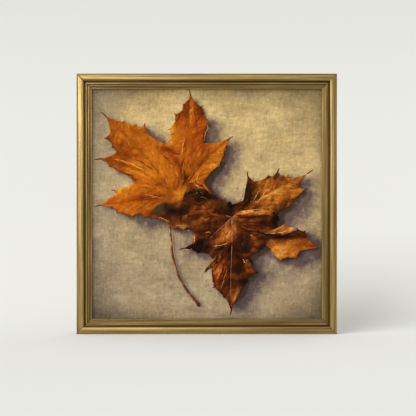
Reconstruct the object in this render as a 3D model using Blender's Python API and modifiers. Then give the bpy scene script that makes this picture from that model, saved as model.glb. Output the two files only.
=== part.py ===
"""Framed picture: a stretched canvas in a square gilt moulding, with the hardware on its back.

Metres, +Z up. The picture faces -Y and the wall is the plane y = 0. The origin lies on the wall,
midway between the two hooks that the hanger rings go over.
"""

import math

import bmesh
import bpy
from mathutils import Matrix

# Room between pieces that touch
GAP = 0.0003
SHARP_ANGLE = math.radians(35)

# Frame: a moulding of one section, mitred at the corners
OUTER = 0.508
RAIL_WIDTH = 0.0296
RAIL_DEPTH = 0.0286
REBATE_WIDTH = 0.0051
REBATE_DEPTH = 0.0184
EDGE_ROUND = 0.0008
BAND_WIDTH = 0.0140
BAND_EDGE_HEIGHT = 0.0270
BAND_CORNER = 0.0004
GROOVE_FLOOR = 0.0233
GROOVE_WIDTH = 0.0034
GROOVE_WALL = 0.0007
GROOVE_ROUND = 0.0006
BEAD_RADIUS = 0.0016
BEAD_HEIGHT = 0.0252
REED_RADIUS = 0.0005
REED_CENTRE = (0.0238, 0.0233)
REED_SHOULDER = 0.0011
COVE_LEDGE = 0.0002
COVE_HEIGHTS = (0.0246, 0.0222)
LIP_RADIUS = 0.0015
LIP_HEIGHT = 0.0216

# Canvas: one piece of cloth, folded round the bars
CANVAS_SIDE = 0.4572
CANVAS_DEPTH = 0.0172
CLOTH_THICKNESS = 0.0006
TURN_OVER = 0.022

# Stretcher bars, with a raised outer edge that carries the cloth
BAR_WIDTH = 0.036
BAR_FALL = 0.0028
BAR_LIP = 0.004
BAR_SLOPE = 0.002
BAR_ROUND = 0.0006

# Keys in the bars' inner corners: the tip is in a slot, the wide end is free
KEY_IN = 0.012
KEY_OUT = 0.015
KEY_TIP = 0.0028
KEY_WIDE = 0.0095
KEY_THICKNESS = 0.0028
KEY_DEPTHS = (0.0100, 0.0050)

# V-nails across the backs of the mitres
NAIL_WING = 0.006
NAIL_THICKNESS = 0.0007
NAIL_LENGTH = 0.010
NAIL_INSETS = (0.0070, 0.0150)

# Offset clips, two a side
CLIP_SPREAD = 0.310
CLIP_WIDTH = 0.012
CLIP_THICKNESS = 0.0010
CLIP_START = 0.008
CLIP_END = 0.041
CLIP_JOG = 0.001
CLIP_HOLE = 0.0135

# Hangers: a strap rolled round a D-ring's straight bar
HOOKS_BELOW_TOP = 0.120
WIRE_RADIUS = 0.0011
RING_HALF_WIDTH = 0.0083
RING_CORNER = 0.0025
RING_SIDE = 0.0060
STRAP_WIDTH = 0.0105
STRAP_THICKNESS = 0.0010
STRAP_CLEARANCE = 0.0004
STRAP_LENGTH = 0.029
STRAP_HOLE = 0.0215
STRAP_TURN = math.radians(290)

# Screws: head radius, head height, shank radius, length
CLIP_SCREW = (0.0034, 0.0019, 0.0014, 0.011)
STRAP_SCREW = (0.0040, 0.0022, 0.0016, 0.014)
SCREW_STEPS = 16

# Bumpers keep the frame's back off the wall
BUMPER_RADIUS = 0.0055
BUMPER_THICKNESS = 0.0055
BUMPER_INSET = 0.036

# Worked out from the above
BACK_Y = -(BUMPER_THICKNESS + GAP)
CENTRE_Z = HOOKS_BELOW_TOP - OUTER / 2
RAIL_BACK_WIDTH = RAIL_WIDTH - REBATE_WIDTH
CANVAS_FRONT = REBATE_DEPTH - GAP
CANVAS_BACK = CANVAS_FRONT - CANVAS_DEPTH
BAR_OUTER = CANVAS_SIDE - 2 * (CLOTH_THICKNESS + GAP)
BAR_DEPTH = CANVAS_DEPTH - 2 * (CLOTH_THICKNESS + GAP)
BAR_BACK = CANVAS_BACK + CLOTH_THICKNESS + GAP
BAR_INNER = BAR_OUTER / 2 - BAR_WIDTH
LOOP_RADIUS = WIRE_RADIUS + STRAP_CLEARANCE + STRAP_THICKNESS
HINGE_BEHIND = GAP + LOOP_RADIUS
RING_REACH = RING_SIDE + RING_HALF_WIDTH
HINGE_Z = WIRE_RADIUS - RING_REACH
HANGER_X = OUTER / 2 - RAIL_BACK_WIDTH / 2

SIDES = ("bottom", "left", "top", "right")
CORNERS = ("bottom_left", "top_left", "top_right", "bottom_right")


# ---------------------------------------------------------------- helpers


def clear_scene():
    for obj in list(bpy.data.objects):
        bpy.data.objects.remove(obj, do_unlink=True)


def new_collection(name):
    collection = bpy.data.collections.new(name)
    bpy.context.scene.collection.children.link(collection)
    return collection


def new_material(name, color, roughness, metallic=0.0):
    material = bpy.data.materials.new(name)
    material.use_nodes = True
    shader = material.node_tree.nodes["Principled BSDF"]
    shader.inputs["Base Color"].default_value = (*color, 1)
    shader.inputs["Roughness"].default_value = roughness
    shader.inputs["Metallic"].default_value = metallic
    return material


def add_object(name, mesh, material, collection, parent=None, location=(0, 0, 0), rotation=(0, 0, 0)):
    obj = bpy.data.objects.new(name, mesh)
    collection.objects.link(obj)
    obj.parent = parent
    obj.location = location
    obj.rotation_euler = rotation
    if material and not mesh.materials:
        mesh.materials.append(material)
    return obj


def add_cutter(name, mesh, collection, **place):
    cutter = add_object(name, mesh, None, collection, **place)
    cutter.hide_render = True
    cutter.display_type = "WIRE"
    return cutter


def cut(obj, cutters):
    """Takes every solid of a cutter collection out of an object."""
    boolean = obj.modifiers.new("cut", "BOOLEAN")
    boolean.operation = "DIFFERENCE"
    boolean.solver = "EXACT"
    boolean.operand_type = "COLLECTION"
    boolean.collection = cutters


def evaluated_mesh(obj):
    """The object's mesh with its modifiers or its curve worked out; the object itself is removed."""
    bpy.context.view_layer.update()
    depsgraph = bpy.context.evaluated_depsgraph_get()
    mesh = bpy.data.meshes.new_from_object(obj.evaluated_get(depsgraph))
    bpy.data.objects.remove(obj, do_unlink=True)
    return mesh


def weld(mesh):
    bm = bmesh.new()
    bm.from_mesh(mesh)
    bmesh.ops.remove_doubles(bm, verts=bm.verts, dist=1e-6)
    bmesh.ops.recalc_face_normals(bm, faces=bm.faces)
    bm.to_mesh(mesh)
    bm.free()
    return mesh


def shade(mesh):
    """Smooth over the round stretches, sharp at the corners."""
    mesh.shade_smooth()
    mesh.set_sharp_from_angle(angle=SHARP_ANGLE)


def add_curve(points, dimensions):
    curve = bpy.data.curves.new("curve", "CURVE")
    curve.dimensions = dimensions
    spline = curve.splines.new("POLY")
    spline.points.add(len(points) - 1)
    for point, place in zip(spline.points, points):
        point.co = (place[0], place[1], 0, 1)
    spline.use_cyclic_u = True
    holder = bpy.data.objects.new("curve", curve)
    bpy.context.scene.collection.objects.link(holder)
    return holder


def prism(points, height):
    """A flat outline made solid, centred on its own plane."""
    holder = add_curve(points, "2D")
    holder.data.fill_mode = "BOTH"
    holder.data.extrude = height / 2
    mesh = weld(evaluated_mesh(holder))
    shade(mesh)
    return mesh


def arc(center, radius, start, end, steps):
    """Points of an arc; the angles are in degrees from +X, anticlockwise."""
    for step in range(steps + 1):
        angle = math.radians(start + (end - start) * step / steps)
        yield (center[0] + radius * math.cos(angle), center[1] + radius * math.sin(angle))


def cylinder(radius, low, high, steps=SCREW_STEPS):
    """A cylinder along +Y from low to high."""
    bm = bmesh.new()
    bmesh.ops.create_cone(bm, cap_ends=True, segments=steps, radius1=radius, radius2=radius, depth=high - low)
    bmesh.ops.rotate(bm, verts=bm.verts, matrix=Matrix.Rotation(math.radians(-90), 3, "X"))
    bmesh.ops.translate(bm, verts=bm.verts, vec=(0, (low + high) / 2, 0))
    mesh = bpy.data.meshes.new("cylinder")
    bm.to_mesh(mesh)
    bm.free()
    return mesh


def turned(profile, steps):
    """A profile of (radius, height) pairs, from the top down, turned about Z."""
    bm = bmesh.new()
    points = [bm.verts.new((radius, 0, height)) for radius, height in profile]
    for first, second in zip(points, points[1:]):
        bm.edges.new((first, second))
    mesh = bpy.data.meshes.new("turned")
    bm.to_mesh(mesh)
    bm.free()
    holder = bpy.data.objects.new("turned", mesh)
    bpy.context.scene.collection.objects.link(holder)
    screw = holder.modifiers.new("screw", "SCREW")
    screw.steps = screw.render_steps = steps
    screw.use_merge_vertices = True
    screw.merge_threshold = 0.00001
    return weld(evaluated_mesh(holder))


def bent_strip(path, width):
    """An open strip along X whose section is a path of (height, behind) points in Z and Y."""
    bm = bmesh.new()
    points = [bm.verts.new((-width / 2, behind, height)) for height, behind in path]
    edges = [bm.edges.new(pair) for pair in zip(points, points[1:])]
    swept = bmesh.ops.extrude_edge_only(bm, edges=edges)["geom"]
    far = [part for part in swept if isinstance(part, bmesh.types.BMVert)]
    bmesh.ops.translate(bm, verts=far, vec=(width, 0, 0))
    mesh = bpy.data.meshes.new("strip")
    bm.to_mesh(mesh)
    bm.free()
    return mesh


def thicken(obj, thickness, offset):
    solidify = obj.modifiers.new("thickness", "SOLIDIFY")
    solidify.thickness = thickness
    solidify.offset = offset
    solidify.use_even_offset = True


def mitred(outline, outer):
    """The bottom member of a square frame: the section runs in from the outer edge, then forwards.

    Each end slides in by the distance from the outer edge, which makes the 45 degree mitre.
    """
    mesh = prism(outline, outer)
    mesh.transform(Matrix(((0, 0, 1, 0), (0, -1, 0, 0), (1, 0, 0, -outer / 2), (0, 0, 0, 1))))
    for vertex in mesh.vertices:
        end = -vertex.co.z - GAP / math.sqrt(2)
        vertex.co.x = math.copysign(end, vertex.co.x)
    return mesh


def add_sides(collection):
    """An empty for each side of the frame, at the centre of its back, turned so that the side is below."""
    sides = {}
    for turn, name in enumerate(SIDES):
        side = bpy.data.objects.new("side_" + name, None)
        collection.objects.link(side)
        side.location = (0, BACK_Y, CENTRE_Z)
        side.rotation_euler = (0, math.radians(90 * turn), 0)
        sides[name] = side
    return sides


# ---------------------------------------------------------------- frame


def moulding_outline():
    """Section of the moulding: distance in from the outer edge, height above the back."""
    groove_start = BAND_WIDTH + GROOVE_WALL
    groove_end = BAND_WIDTH + BAND_CORNER + GROOVE_WIDTH
    bead = (groove_end + BEAD_RADIUS, BEAD_HEIGHT)
    cove_start = bead[0] + BEAD_RADIUS + COVE_LEDGE
    cove_end = (REED_CENTRE[0] - REED_SHOULDER, REED_CENTRE[1] + COVE_LEDGE)
    lip = (RAIL_WIDTH - LIP_RADIUS, LIP_HEIGHT)
    points = [(0, 0), (0, BAND_EDGE_HEIGHT - EDGE_ROUND * 1.5)]
    for step in range(9):
        share = step / 8
        across = EDGE_ROUND + (BAND_WIDTH - EDGE_ROUND) * share
        crown = (RAIL_DEPTH - BAND_EDGE_HEIGHT) * math.sin(math.pi * share)
        points.append((across, BAND_EDGE_HEIGHT + crown))
    points += [(BAND_WIDTH + BAND_CORNER, BAND_EDGE_HEIGHT - BAND_CORNER)]
    points += [(groove_start, GROOVE_FLOOR + GROOVE_ROUND), (groove_start + GROOVE_ROUND, GROOVE_FLOOR)]
    points += [(groove_end - GROOVE_WALL, GROOVE_FLOOR)]
    points += arc(bead, BEAD_RADIUS, 190, 0, 8)
    points += [(cove_start, COVE_HEIGHTS[0]), cove_end]
    points += arc(REED_CENTRE, REED_RADIUS, 160, 10, 3)
    points += [(lip[0] - LIP_RADIUS * 0.95, COVE_HEIGHTS[1])]
    points += arc(lip, LIP_RADIUS, 140, 0, 6)
    points += [(RAIL_WIDTH, REBATE_DEPTH), (RAIL_BACK_WIDTH, REBATE_DEPTH), (RAIL_BACK_WIDTH, 0)]
    return points


def nail_outline(grow=0.0):
    """An L whose apex is on the mitre and whose wings lie along the two rails."""
    low, thick, wing = -grow, NAIL_THICKNESS + grow, NAIL_WING + grow
    return [(low, low), (wing, low), (wing, thick), (thick, thick), (thick, wing), (low, wing)]


def nail_mesh(grow=0.0):
    """The V-nail at the bottom left corner, from just under the frame's back forwards."""
    mesh = prism(nail_outline(grow), NAIL_LENGTH + 2 * grow)
    mesh.transform(Matrix(((1, 0, 0, 0), (0, 0, 1, -NAIL_LENGTH / 2 - GAP), (0, 1, 0, 0), (0, 0, 0, 1))))
    return weld(mesh)


def add_rails(sides, parts, cutters, gilt):
    mesh = mitred(moulding_outline(), OUTER)
    for name, side in sides.items():
        rail = add_object("rail_" + name, mesh, gilt, parts, parent=side)
        cut(rail, cutters)


def add_nails(sides, parts, cutters, steel):
    mesh = nail_mesh()
    slot = nail_mesh(grow=GAP)
    for corner, side in zip(CORNERS, sides.values()):
        for number, inset in enumerate(NAIL_INSETS, 1):
            place = {"parent": side, "location": (inset - OUTER / 2, 0, inset - OUTER / 2)}
            name = f"v_nail_{corner}_{number}"
            add_object(name, mesh, steel, parts, **place)
            add_cutter(name + "_slot", slot, cutters, **place)


# ---------------------------------------------------------------- stretched canvas


def add_canvas(parts, cloth):
    """A box of cloth, open behind except for the strip that is turned over onto the bars."""
    bm = bmesh.new()
    bmesh.ops.create_cube(bm, size=1)
    bmesh.ops.scale(bm, verts=bm.verts, vec=(CANVAS_SIDE, CANVAS_DEPTH, CANVAS_SIDE))
    back = [face for face in bm.faces if face.normal.y > 0.5]
    bmesh.ops.inset_region(bm, faces=back, thickness=TURN_OVER)
    bmesh.ops.delete(bm, geom=back, context="FACES_ONLY")
    mesh = bpy.data.meshes.new("canvas")
    bm.to_mesh(mesh)
    bm.free()
    middle = BACK_Y - (CANVAS_BACK + CANVAS_FRONT) / 2
    canvas = add_object("canvas", mesh, cloth, parts, location=(0, middle, CENTRE_Z))
    thicken(canvas, CLOTH_THICKNESS, -1)


def bar_outline():
    """Section of a stretcher bar: distance in from the outer edge, height above the frame's back."""
    front = BAR_BACK + BAR_DEPTH
    corner = (BAR_ROUND, front - BAR_ROUND)
    points = [(0, BAR_BACK), *arc(corner, BAR_ROUND, 180, 90, 3), (BAR_LIP, front)]
    points += [(BAR_LIP + BAR_SLOPE, front - BAR_FALL / 2)]
    points += [(BAR_WIDTH, front - BAR_FALL), (BAR_WIDTH, BAR_BACK)]
    return points


def key_outline(grow=0.0):
    """A wedge along +X from its tip, which is in the slot, to its free wide end."""
    low, tip, wide = -grow, KEY_TIP + grow, KEY_WIDE + grow
    return [(-KEY_IN - grow, low), (KEY_OUT + grow, low), (KEY_OUT + grow, wide), (-KEY_IN - grow, tip)]


def key_mesh(flip, grow=0.0):
    """A key that lies along the bottom bar, with its tip at the left or, flipped, at the right."""
    mesh = prism(key_outline(grow), KEY_THICKNESS + 2 * grow)
    mesh.transform(Matrix(((flip, 0, 0, 0), (0, 0, 1, 0), (0, 1, 0, 0), (0, 0, 0, 1))))
    return weld(mesh)


def add_bars(sides, parts, slots, pine, beech):
    bar = mitred(bar_outline(), BAR_OUTER)
    ends = []
    for flip, depth in zip((1, -1), KEY_DEPTHS):
        place = (-flip * BAR_INNER, -depth, 2 * GAP - BAR_INNER)
        ends.append((place, key_mesh(flip), key_mesh(flip, grow=GAP)))
    for name, side in sides.items():
        cut(add_object("bar_" + name, bar, pine, parts, parent=side), slots)
        for number, (place, key, slot) in enumerate(ends, 1):
            key_name = f"bar_key_{name}_{number}"
            add_object(key_name, key, beech, parts, parent=side, location=place)
            add_cutter(key_name + "_slot", slot, slots, parent=side, location=place)


# ---------------------------------------------------------------- hardware on the back


def screw_mesh(head_radius, head_height, shank_radius, length):
    """A pan head screw about Z, with the underside of its head at z = 0 and a cross recess on top."""
    profile = [(0, head_height), (head_radius * 0.6, head_height * 0.93)]
    profile += [(head_radius * 0.9, head_height * 0.6), (head_radius, head_height * 0.2)]
    profile += [(head_radius, 0), (shank_radius, 0)]
    profile += [(shank_radius, -length + 2 * shank_radius), (0, -length)]
    holder = bpy.data.objects.new("screw", turned(profile, SCREW_STEPS))
    bpy.context.scene.collection.objects.link(holder)
    reach, half, tip = head_radius * 0.55, head_radius * 0.13, head_radius * 0.09
    corner = [(reach, -tip), (reach, tip), (half, half)]
    cross = []
    for turn in range(4):
        c, s = round(math.cos(turn * math.pi / 2)), round(math.sin(turn * math.pi / 2))
        cross += [(x * c - y * s, x * s + y * c) for x, y in corner]
    recess = bpy.data.objects.new("recess", prism(cross, head_height))
    bpy.context.scene.collection.objects.link(recess)
    recess.location.z = head_height
    boolean = holder.modifiers.new("recess", "BOOLEAN")
    boolean.operation = "DIFFERENCE"
    boolean.object = recess
    mesh = evaluated_mesh(holder)
    bpy.data.objects.remove(recess, do_unlink=True)
    weld(mesh)
    shade(mesh)
    return mesh


def clip_path():
    """Section of an offset clip: it steps down from the frame's back onto the turned-over cloth."""
    drop = GAP - CANVAS_BACK
    step = RAIL_BACK_WIDTH + GAP
    return [(CLIP_START, GAP), (step, GAP), (step + CLIP_JOG, drop), (CLIP_END, drop)]


def add_clips(sides, parts, holes, steel, zinc):
    path = [(distance - OUTER / 2, behind) for distance, behind in clip_path()]
    clip = bent_strip(path, CLIP_WIDTH)
    screw = screw_mesh(*CLIP_SCREW)
    hole = cylinder(CLIP_SCREW[2] + GAP, -CLIP_SCREW[3], 2 * CLIP_THICKNESS)
    for name, side in sides.items():
        for number, along in enumerate((-CLIP_SPREAD / 2, CLIP_SPREAD / 2), 1):
            tag = f"{name}_{number}"
            plate = add_object("clip_" + tag, clip, steel, parts, parent=side, location=(along, 0, 0))
            thicken(plate, CLIP_THICKNESS, -1)
            cut(plate, holes)
            place = (along, 2 * GAP + CLIP_THICKNESS, CLIP_HOLE - OUTER / 2)
            turn = (math.radians(-90), 0, 0)
            add_object("clip_screw_" + tag, screw, zinc, parts, parent=side, location=place, rotation=turn)
            add_cutter("clip_hole_" + tag, hole, holes, parent=side, location=(along, 0, place[2]))


def strap_path():
    """Section of a hanger strap: flat on the frame's back, then rolled round the ring's bar."""
    path = [(-STRAP_LENGTH, -LOOP_RADIUS), (-STRAP_LENGTH / 2, -LOOP_RADIUS)]
    steps = 16
    for step in range(steps + 1):
        angle = STRAP_TURN * step / steps
        path.append((LOOP_RADIUS * math.sin(angle), -LOOP_RADIUS * math.cos(angle)))
    return path


def ring_mesh():
    """A D of round wire in the XZ plane, with its straight bar on the X axis and its bow below."""
    inner = RING_HALF_WIDTH - RING_CORNER
    points = [(0, 0), *arc((inner, -RING_CORNER), RING_CORNER, 90, 0, 4)]
    points += arc((0, -RING_SIDE), RING_HALF_WIDTH, 0, -180, 16)
    points += arc((-inner, -RING_CORNER), RING_CORNER, 180, 90, 4)
    holder = add_curve(points, "3D")
    holder.data.bevel_depth = WIRE_RADIUS
    holder.data.bevel_resolution = 3
    mesh = weld(evaluated_mesh(holder))
    mesh.transform(Matrix.Rotation(math.radians(90), 4, "X"))
    mesh.shade_smooth()
    return mesh


def add_hangers(parts, holes, steel, zinc):
    strap_sheet = bent_strip(strap_path(), STRAP_WIDTH)
    ring = ring_mesh()
    screw = screw_mesh(*STRAP_SCREW)
    hole = cylinder(STRAP_SCREW[2] + GAP, -STRAP_SCREW[3], 2 * STRAP_THICKNESS)
    for name, x in (("left", -HANGER_X), ("right", HANGER_X)):
        hinge = bpy.data.objects.new(f"hinge_{name}", None)
        parts.objects.link(hinge)
        hinge.location = (x, BACK_Y + HINGE_BEHIND, HINGE_Z)
        strap = add_object(f"hanger_strap_{name}", strap_sheet, steel, parts, parent=hinge)
        thicken(strap, STRAP_THICKNESS, -1)
        cut(strap, holes)
        add_object(f"hanger_ring_{name}", ring, steel, parts, parent=hinge)
        behind = STRAP_THICKNESS + 2 * GAP - HINGE_BEHIND
        turn = (math.radians(-90), 0, 0)
        place = (0, behind, -STRAP_HOLE)
        add_object(f"hanger_screw_{name}", screw, zinc, parts, parent=hinge, location=place, rotation=turn)
        place = (0, -HINGE_BEHIND, -STRAP_HOLE)
        add_cutter(f"hanger_hole_{name}", hole, holes, parent=hinge, location=place)


def add_bumpers(parts, rubber):
    """Rubber discs on the bottom rail's back, near its ends."""
    edge = BUMPER_RADIUS * 0.2
    profile = [(0, BUMPER_THICKNESS), (BUMPER_RADIUS - edge, BUMPER_THICKNESS)]
    profile += [(BUMPER_RADIUS, BUMPER_THICKNESS - edge), (BUMPER_RADIUS, 0), (0, 0)]
    mesh = turned(profile, 24)
    height = CENTRE_Z - OUTER / 2 + RAIL_BACK_WIDTH / 2
    for name, side in (("left", -1), ("right", 1)):
        place = (side * (OUTER / 2 - BUMPER_INSET), BACK_Y + GAP, height)
        turn = (math.radians(-90), 0, 0)
        add_object("bumper_" + name, mesh, rubber, parts, location=place, rotation=turn)


def main():
    clear_scene()
    parts = new_collection("framed_picture")
    rail_cutters = new_collection("rail_cutters")
    key_slots = new_collection("key_slots")
    screw_holes = new_collection("screw_holes")
    rail_cutters.children.link(screw_holes)

    gilt = new_material("gilt", (0.60, 0.43, 0.19), 0.42, 0.8)
    cloth = new_material("painted_canvas", (0.58, 0.47, 0.26), 0.75)
    pine = new_material("pine", (0.72, 0.53, 0.31), 0.7)
    beech = new_material("beech", (0.66, 0.45, 0.27), 0.65)
    steel = new_material("nickel_plated_steel", (0.62, 0.60, 0.55), 0.3, 1.0)
    zinc = new_material("zinc_plated_steel", (0.58, 0.59, 0.60), 0.35, 1.0)
    rubber = new_material("rubber", (0.05, 0.05, 0.05), 0.8)

    sides = add_sides(parts)
    add_nails(sides, parts, rail_cutters, zinc)
    add_clips(sides, parts, screw_holes, steel, zinc)
    add_hangers(parts, screw_holes, steel, zinc)
    add_rails(sides, parts, rail_cutters, gilt)
    add_bars(sides, parts, key_slots, pine, beech)
    add_canvas(parts, cloth)
    add_bumpers(parts, rubber)


main()
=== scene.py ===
"""Looks of the framed picture: gilt rails, a painted canvas with two maple leaves, and its back.

The picture faces -Y. Paint is worked out on a square field of the picture, in millimetres from its
centre (x to the right, z up), and laid on as thin relief meshes with the colour at every point.
"""
import math

import bmesh
import bpy
import numpy as np
from mathutils import Matrix, Vector
from mathutils.geometry import delaunay_2d_cdt


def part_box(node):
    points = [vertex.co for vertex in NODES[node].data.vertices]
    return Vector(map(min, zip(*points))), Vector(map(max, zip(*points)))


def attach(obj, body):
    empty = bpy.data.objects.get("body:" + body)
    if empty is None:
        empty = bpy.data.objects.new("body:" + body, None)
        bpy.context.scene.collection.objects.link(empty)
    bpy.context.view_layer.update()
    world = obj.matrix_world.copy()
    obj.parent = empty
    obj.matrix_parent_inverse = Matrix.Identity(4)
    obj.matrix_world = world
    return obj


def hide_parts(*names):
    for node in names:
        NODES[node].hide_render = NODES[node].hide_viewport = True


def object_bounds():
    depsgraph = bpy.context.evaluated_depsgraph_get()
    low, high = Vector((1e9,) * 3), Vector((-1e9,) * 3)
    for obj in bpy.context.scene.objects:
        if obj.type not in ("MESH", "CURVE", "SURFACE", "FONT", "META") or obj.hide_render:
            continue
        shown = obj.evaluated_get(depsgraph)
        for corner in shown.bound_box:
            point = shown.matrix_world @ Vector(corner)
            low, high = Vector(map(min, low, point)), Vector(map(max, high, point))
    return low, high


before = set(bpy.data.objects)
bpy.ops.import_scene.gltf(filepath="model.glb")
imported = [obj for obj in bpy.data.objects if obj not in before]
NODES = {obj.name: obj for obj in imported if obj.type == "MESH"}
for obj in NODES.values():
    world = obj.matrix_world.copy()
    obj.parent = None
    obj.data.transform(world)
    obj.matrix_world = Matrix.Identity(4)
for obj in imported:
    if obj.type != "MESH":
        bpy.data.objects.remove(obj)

CAD_LOW, CAD_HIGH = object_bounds()
MM = 0.001

# Places and sizes read from the frame, in metres
RAIL_LOW, RAIL_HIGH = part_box("rail_bottom")
CANVAS_LOW, CANVAS_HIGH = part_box("canvas")
OUTER = CAD_HIGH.x - CAD_LOW.x
CENTRE = Vector((0, 0, (CAD_LOW.z + CAD_HIGH.z) / 2))
BACK_Y = RAIL_HIGH.y
FRONT_Y = RAIL_LOW.y
RAIL_WIDTH = RAIL_HIGH.z - RAIL_LOW.z
CANVAS_SIDE = CANVAS_HIGH.x - CANVAS_LOW.x
CANVAS_Y = CANVAS_LOW.y
SIDES = ("bottom", "left", "top", "right")
TURN_OVER = 22 * MM  # cloth turned over onto the bars' backs

# ---------------------------------------------------------------- the painting, worked out in mm

FIELD_SIDE = 460.0
FIELD_STEP = 1.0
COUNT = int(FIELD_SIDE / FIELD_STEP) + 1
AXIS = np.linspace(-FIELD_SIDE / 2, FIELD_SIDE / 2, COUNT)
X, Z = np.meshgrid(AXIS, AXIS)
PAINT_LIGHT = np.array((-0.52, 0.60, 0.60))
PAINT_LIGHT /= np.linalg.norm(PAINT_LIGHT)


def gaussian(field, across, up):
    """The field blurred by so many mm across and up."""
    fx = np.fft.rfftfreq(COUNT, FIELD_STEP)[None, :]
    fz = np.fft.fftfreq(COUNT, FIELD_STEP)[:, None]
    kernel = np.exp(-2 * math.pi**2 * ((fx * across) ** 2 + (fz * up) ** 2))
    return np.fft.irfft2(np.fft.rfft2(field) * kernel, s=field.shape)


def noise(seed, across, up=None):
    """A smooth random field of unit spread whose blots are about so many mm across and up."""
    white = np.random.default_rng(seed).standard_normal((COUNT, COUNT))
    field = gaussian(white, across, up or across)
    return field / field.std()


def smooth(low, high, value):
    """0 up to one limit, 1 from the other, and an even S between them."""
    share = np.clip((value - low) / (high - low), 0, 1)
    return share * share * (3 - 2 * share)


def blend(first, second, share):
    """One colour turned into another by a share of 0 to 1."""
    return first + (second - first) * np.clip(share, 0, 1)[..., None]


def ramp(tone, stops):
    """Colour, 0 to 255, at each tone from a list of (tone, colour) stops."""
    tones = [stop[0] for stop in stops]
    return np.stack([np.interp(tone, tones, [stop[1][c] for stop in stops]) for c in range(3)], -1)


def sample(field, points):
    """Values of a field at (x, z) points, between its own points."""
    place = np.clip((points + FIELD_SIDE / 2) / FIELD_STEP, 0, COUNT - 1.001)
    cell = place.astype(int)
    part = place - cell
    column, row = cell[:, 0], cell[:, 1]
    across, up = part[:, 0], part[:, 1]
    if field.ndim == 3:
        across, up = across[:, None], up[:, None]
    low = field[row, column] * (1 - across) + field[row, column + 1] * across
    high = field[row + 1, column] * (1 - across) + field[row + 1, column + 1] * across
    return low * (1 - up) + high * up


def curve(points, count):
    """Points on one smooth curve through a few given ones (Catmull-Rom)."""
    points = np.array(points, float)
    ends = np.vstack([2 * points[0] - points[1], points, 2 * points[-1] - points[-2]])
    made = []
    for place in np.linspace(0, len(points) - 1, count):
        first = min(int(place), len(points) - 2)
        t = place - first
        a, b, c, d = ends[first:first + 4]
        made.append(0.5 * (2 * b + (c - a) * t + (2 * a - 5 * b + 4 * c - d) * t**2
                           + (3 * b - 3 * c + d - a) * t**3))
    return np.array(made)


def window(low, high):
    """The rows and columns of the field between two corners."""
    first = np.clip(np.floor((np.asarray(low) + FIELD_SIDE / 2) / FIELD_STEP).astype(int), 0, COUNT)
    last = np.clip(np.ceil((np.asarray(high) + FIELD_SIDE / 2) / FIELD_STEP).astype(int) + 1, 0, COUNT)
    return slice(first[1], last[1]), slice(first[0], last[0])


def distance(lines, reach):
    """How far each field point is from the nearest of several lines, up to some reach."""
    best = np.full(X.shape, float(reach))
    for line in lines:
        for start, stop in zip(line[:-1], line[1:]):
            part = window(np.minimum(start, stop) - reach, np.maximum(start, stop) + reach)
            run = stop - start
            x, z = X[part] - start[0], Z[part] - start[1]
            share = np.clip((x * run[0] + z * run[1]) / max(run @ run, 1e-9), 0, 1)
            best[part] = np.minimum(best[part], np.hypot(x - share * run[0], z - share * run[1]))
    return best


def mask(line):
    """1 on the field points inside a closed outline, 0 elsewhere."""
    held = np.zeros(X.shape)
    start, stop = line, np.roll(line, -1, 0)
    for row, z in enumerate(AXIS):
        crossed = (start[:, 1] > z) != (stop[:, 1] > z)
        a, b = start[crossed], stop[crossed]
        places = np.sort(a[:, 0] + (z - a[:, 1]) * (b[:, 0] - a[:, 0]) / (b[:, 1] - a[:, 1]))
        for first, last in zip(places[::2], places[1::2]):
            held[row, (AXIS > first) & (AXIS < last)] = 1
    return held


def inside(points, line):
    """Which points a closed outline holds."""
    held = np.zeros(len(points), bool)
    for (x0, z0), (x1, z1) in zip(line, np.roll(line, -1, 0)):
        if z0 != z1:
            crosses = (z0 > points[:, 1]) != (z1 > points[:, 1])
            held ^= crosses & (points[:, 0] < (x1 - x0) * (points[:, 1] - z0) / (z1 - z0) + x0)
    return held


def spot(x, z, radius, stretch=1.0, angle=0.0):
    """A soft round or oval spot on the field, 1 at its centre."""
    turn = math.radians(angle)
    across = (X - x) * math.cos(turn) + (Z - z) * math.sin(turn)
    up = -(X - x) * math.sin(turn) + (Z - z) * math.cos(turn)
    return np.exp(-((across / (radius * stretch)) ** 2 + (up / radius) ** 2))


def touched(tone, touches):
    """The tone with lighter and darker places: (amount, x, z, radius, stretch, angle)."""
    for amount, *place in touches:
        tone = tone + amount * spot(*place)
    return tone


def brushed(colour, region, heading, seed, long, wide, cover, vary):
    """The colours laid on again in separate brush strokes, each of nearly one colour.

    The strokes are so many mm long and wide, cover the region so many times over, and vary in
    lightness by a share.
    """
    result = colour.copy()
    generator = np.random.default_rng(seed)
    rows, columns = np.nonzero(region > 0.5)
    count = int(cover * len(rows) * FIELD_STEP**2 / (long * wide))
    for pick in generator.integers(len(rows), size=count):
        row, column = rows[pick], columns[pick]
        x, z = X[row, column], Z[row, column]
        turn = heading[row, column] + generator.normal(0, 0.28)
        length = 0.5 * long * generator.uniform(0.5, 1.4)
        width = 0.5 * wide * generator.uniform(0.6, 1.3)
        part = window((x - length - 1, z - length - 1), (x + length + 1, z + length + 1))
        u = (X[part] - x) * math.cos(turn) + (Z[part] - z) * math.sin(turn)
        v = -(X[part] - x) * math.sin(turn) + (Z[part] - z) * math.cos(turn)
        v = v + 0.012 * generator.normal() * u * u
        cover_there = np.clip(2.2 - 2.2 * abs(u) / length, 0, 1)
        cover_there *= np.clip(1.9 - 1.9 * abs(v) / width, 0, 1)
        bristles = 0.80 + 0.20 * np.sin(generator.uniform(0, 6) + 2.6 * v)
        tint = colour[row, column] * (1 + generator.normal(0, vary))
        result[part] = blend(result[part], tint, cover_there * bristles * 0.9)
    return result


# A leaf is drawn point by point round its edge: tips and teeth are named, the rest are soft turns
TIP, TOOTH, SOFT = "tip", "tooth", "soft"
BOW = {TIP: 0.09, TOOTH: 0.08, SOFT: 0.0}

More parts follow.
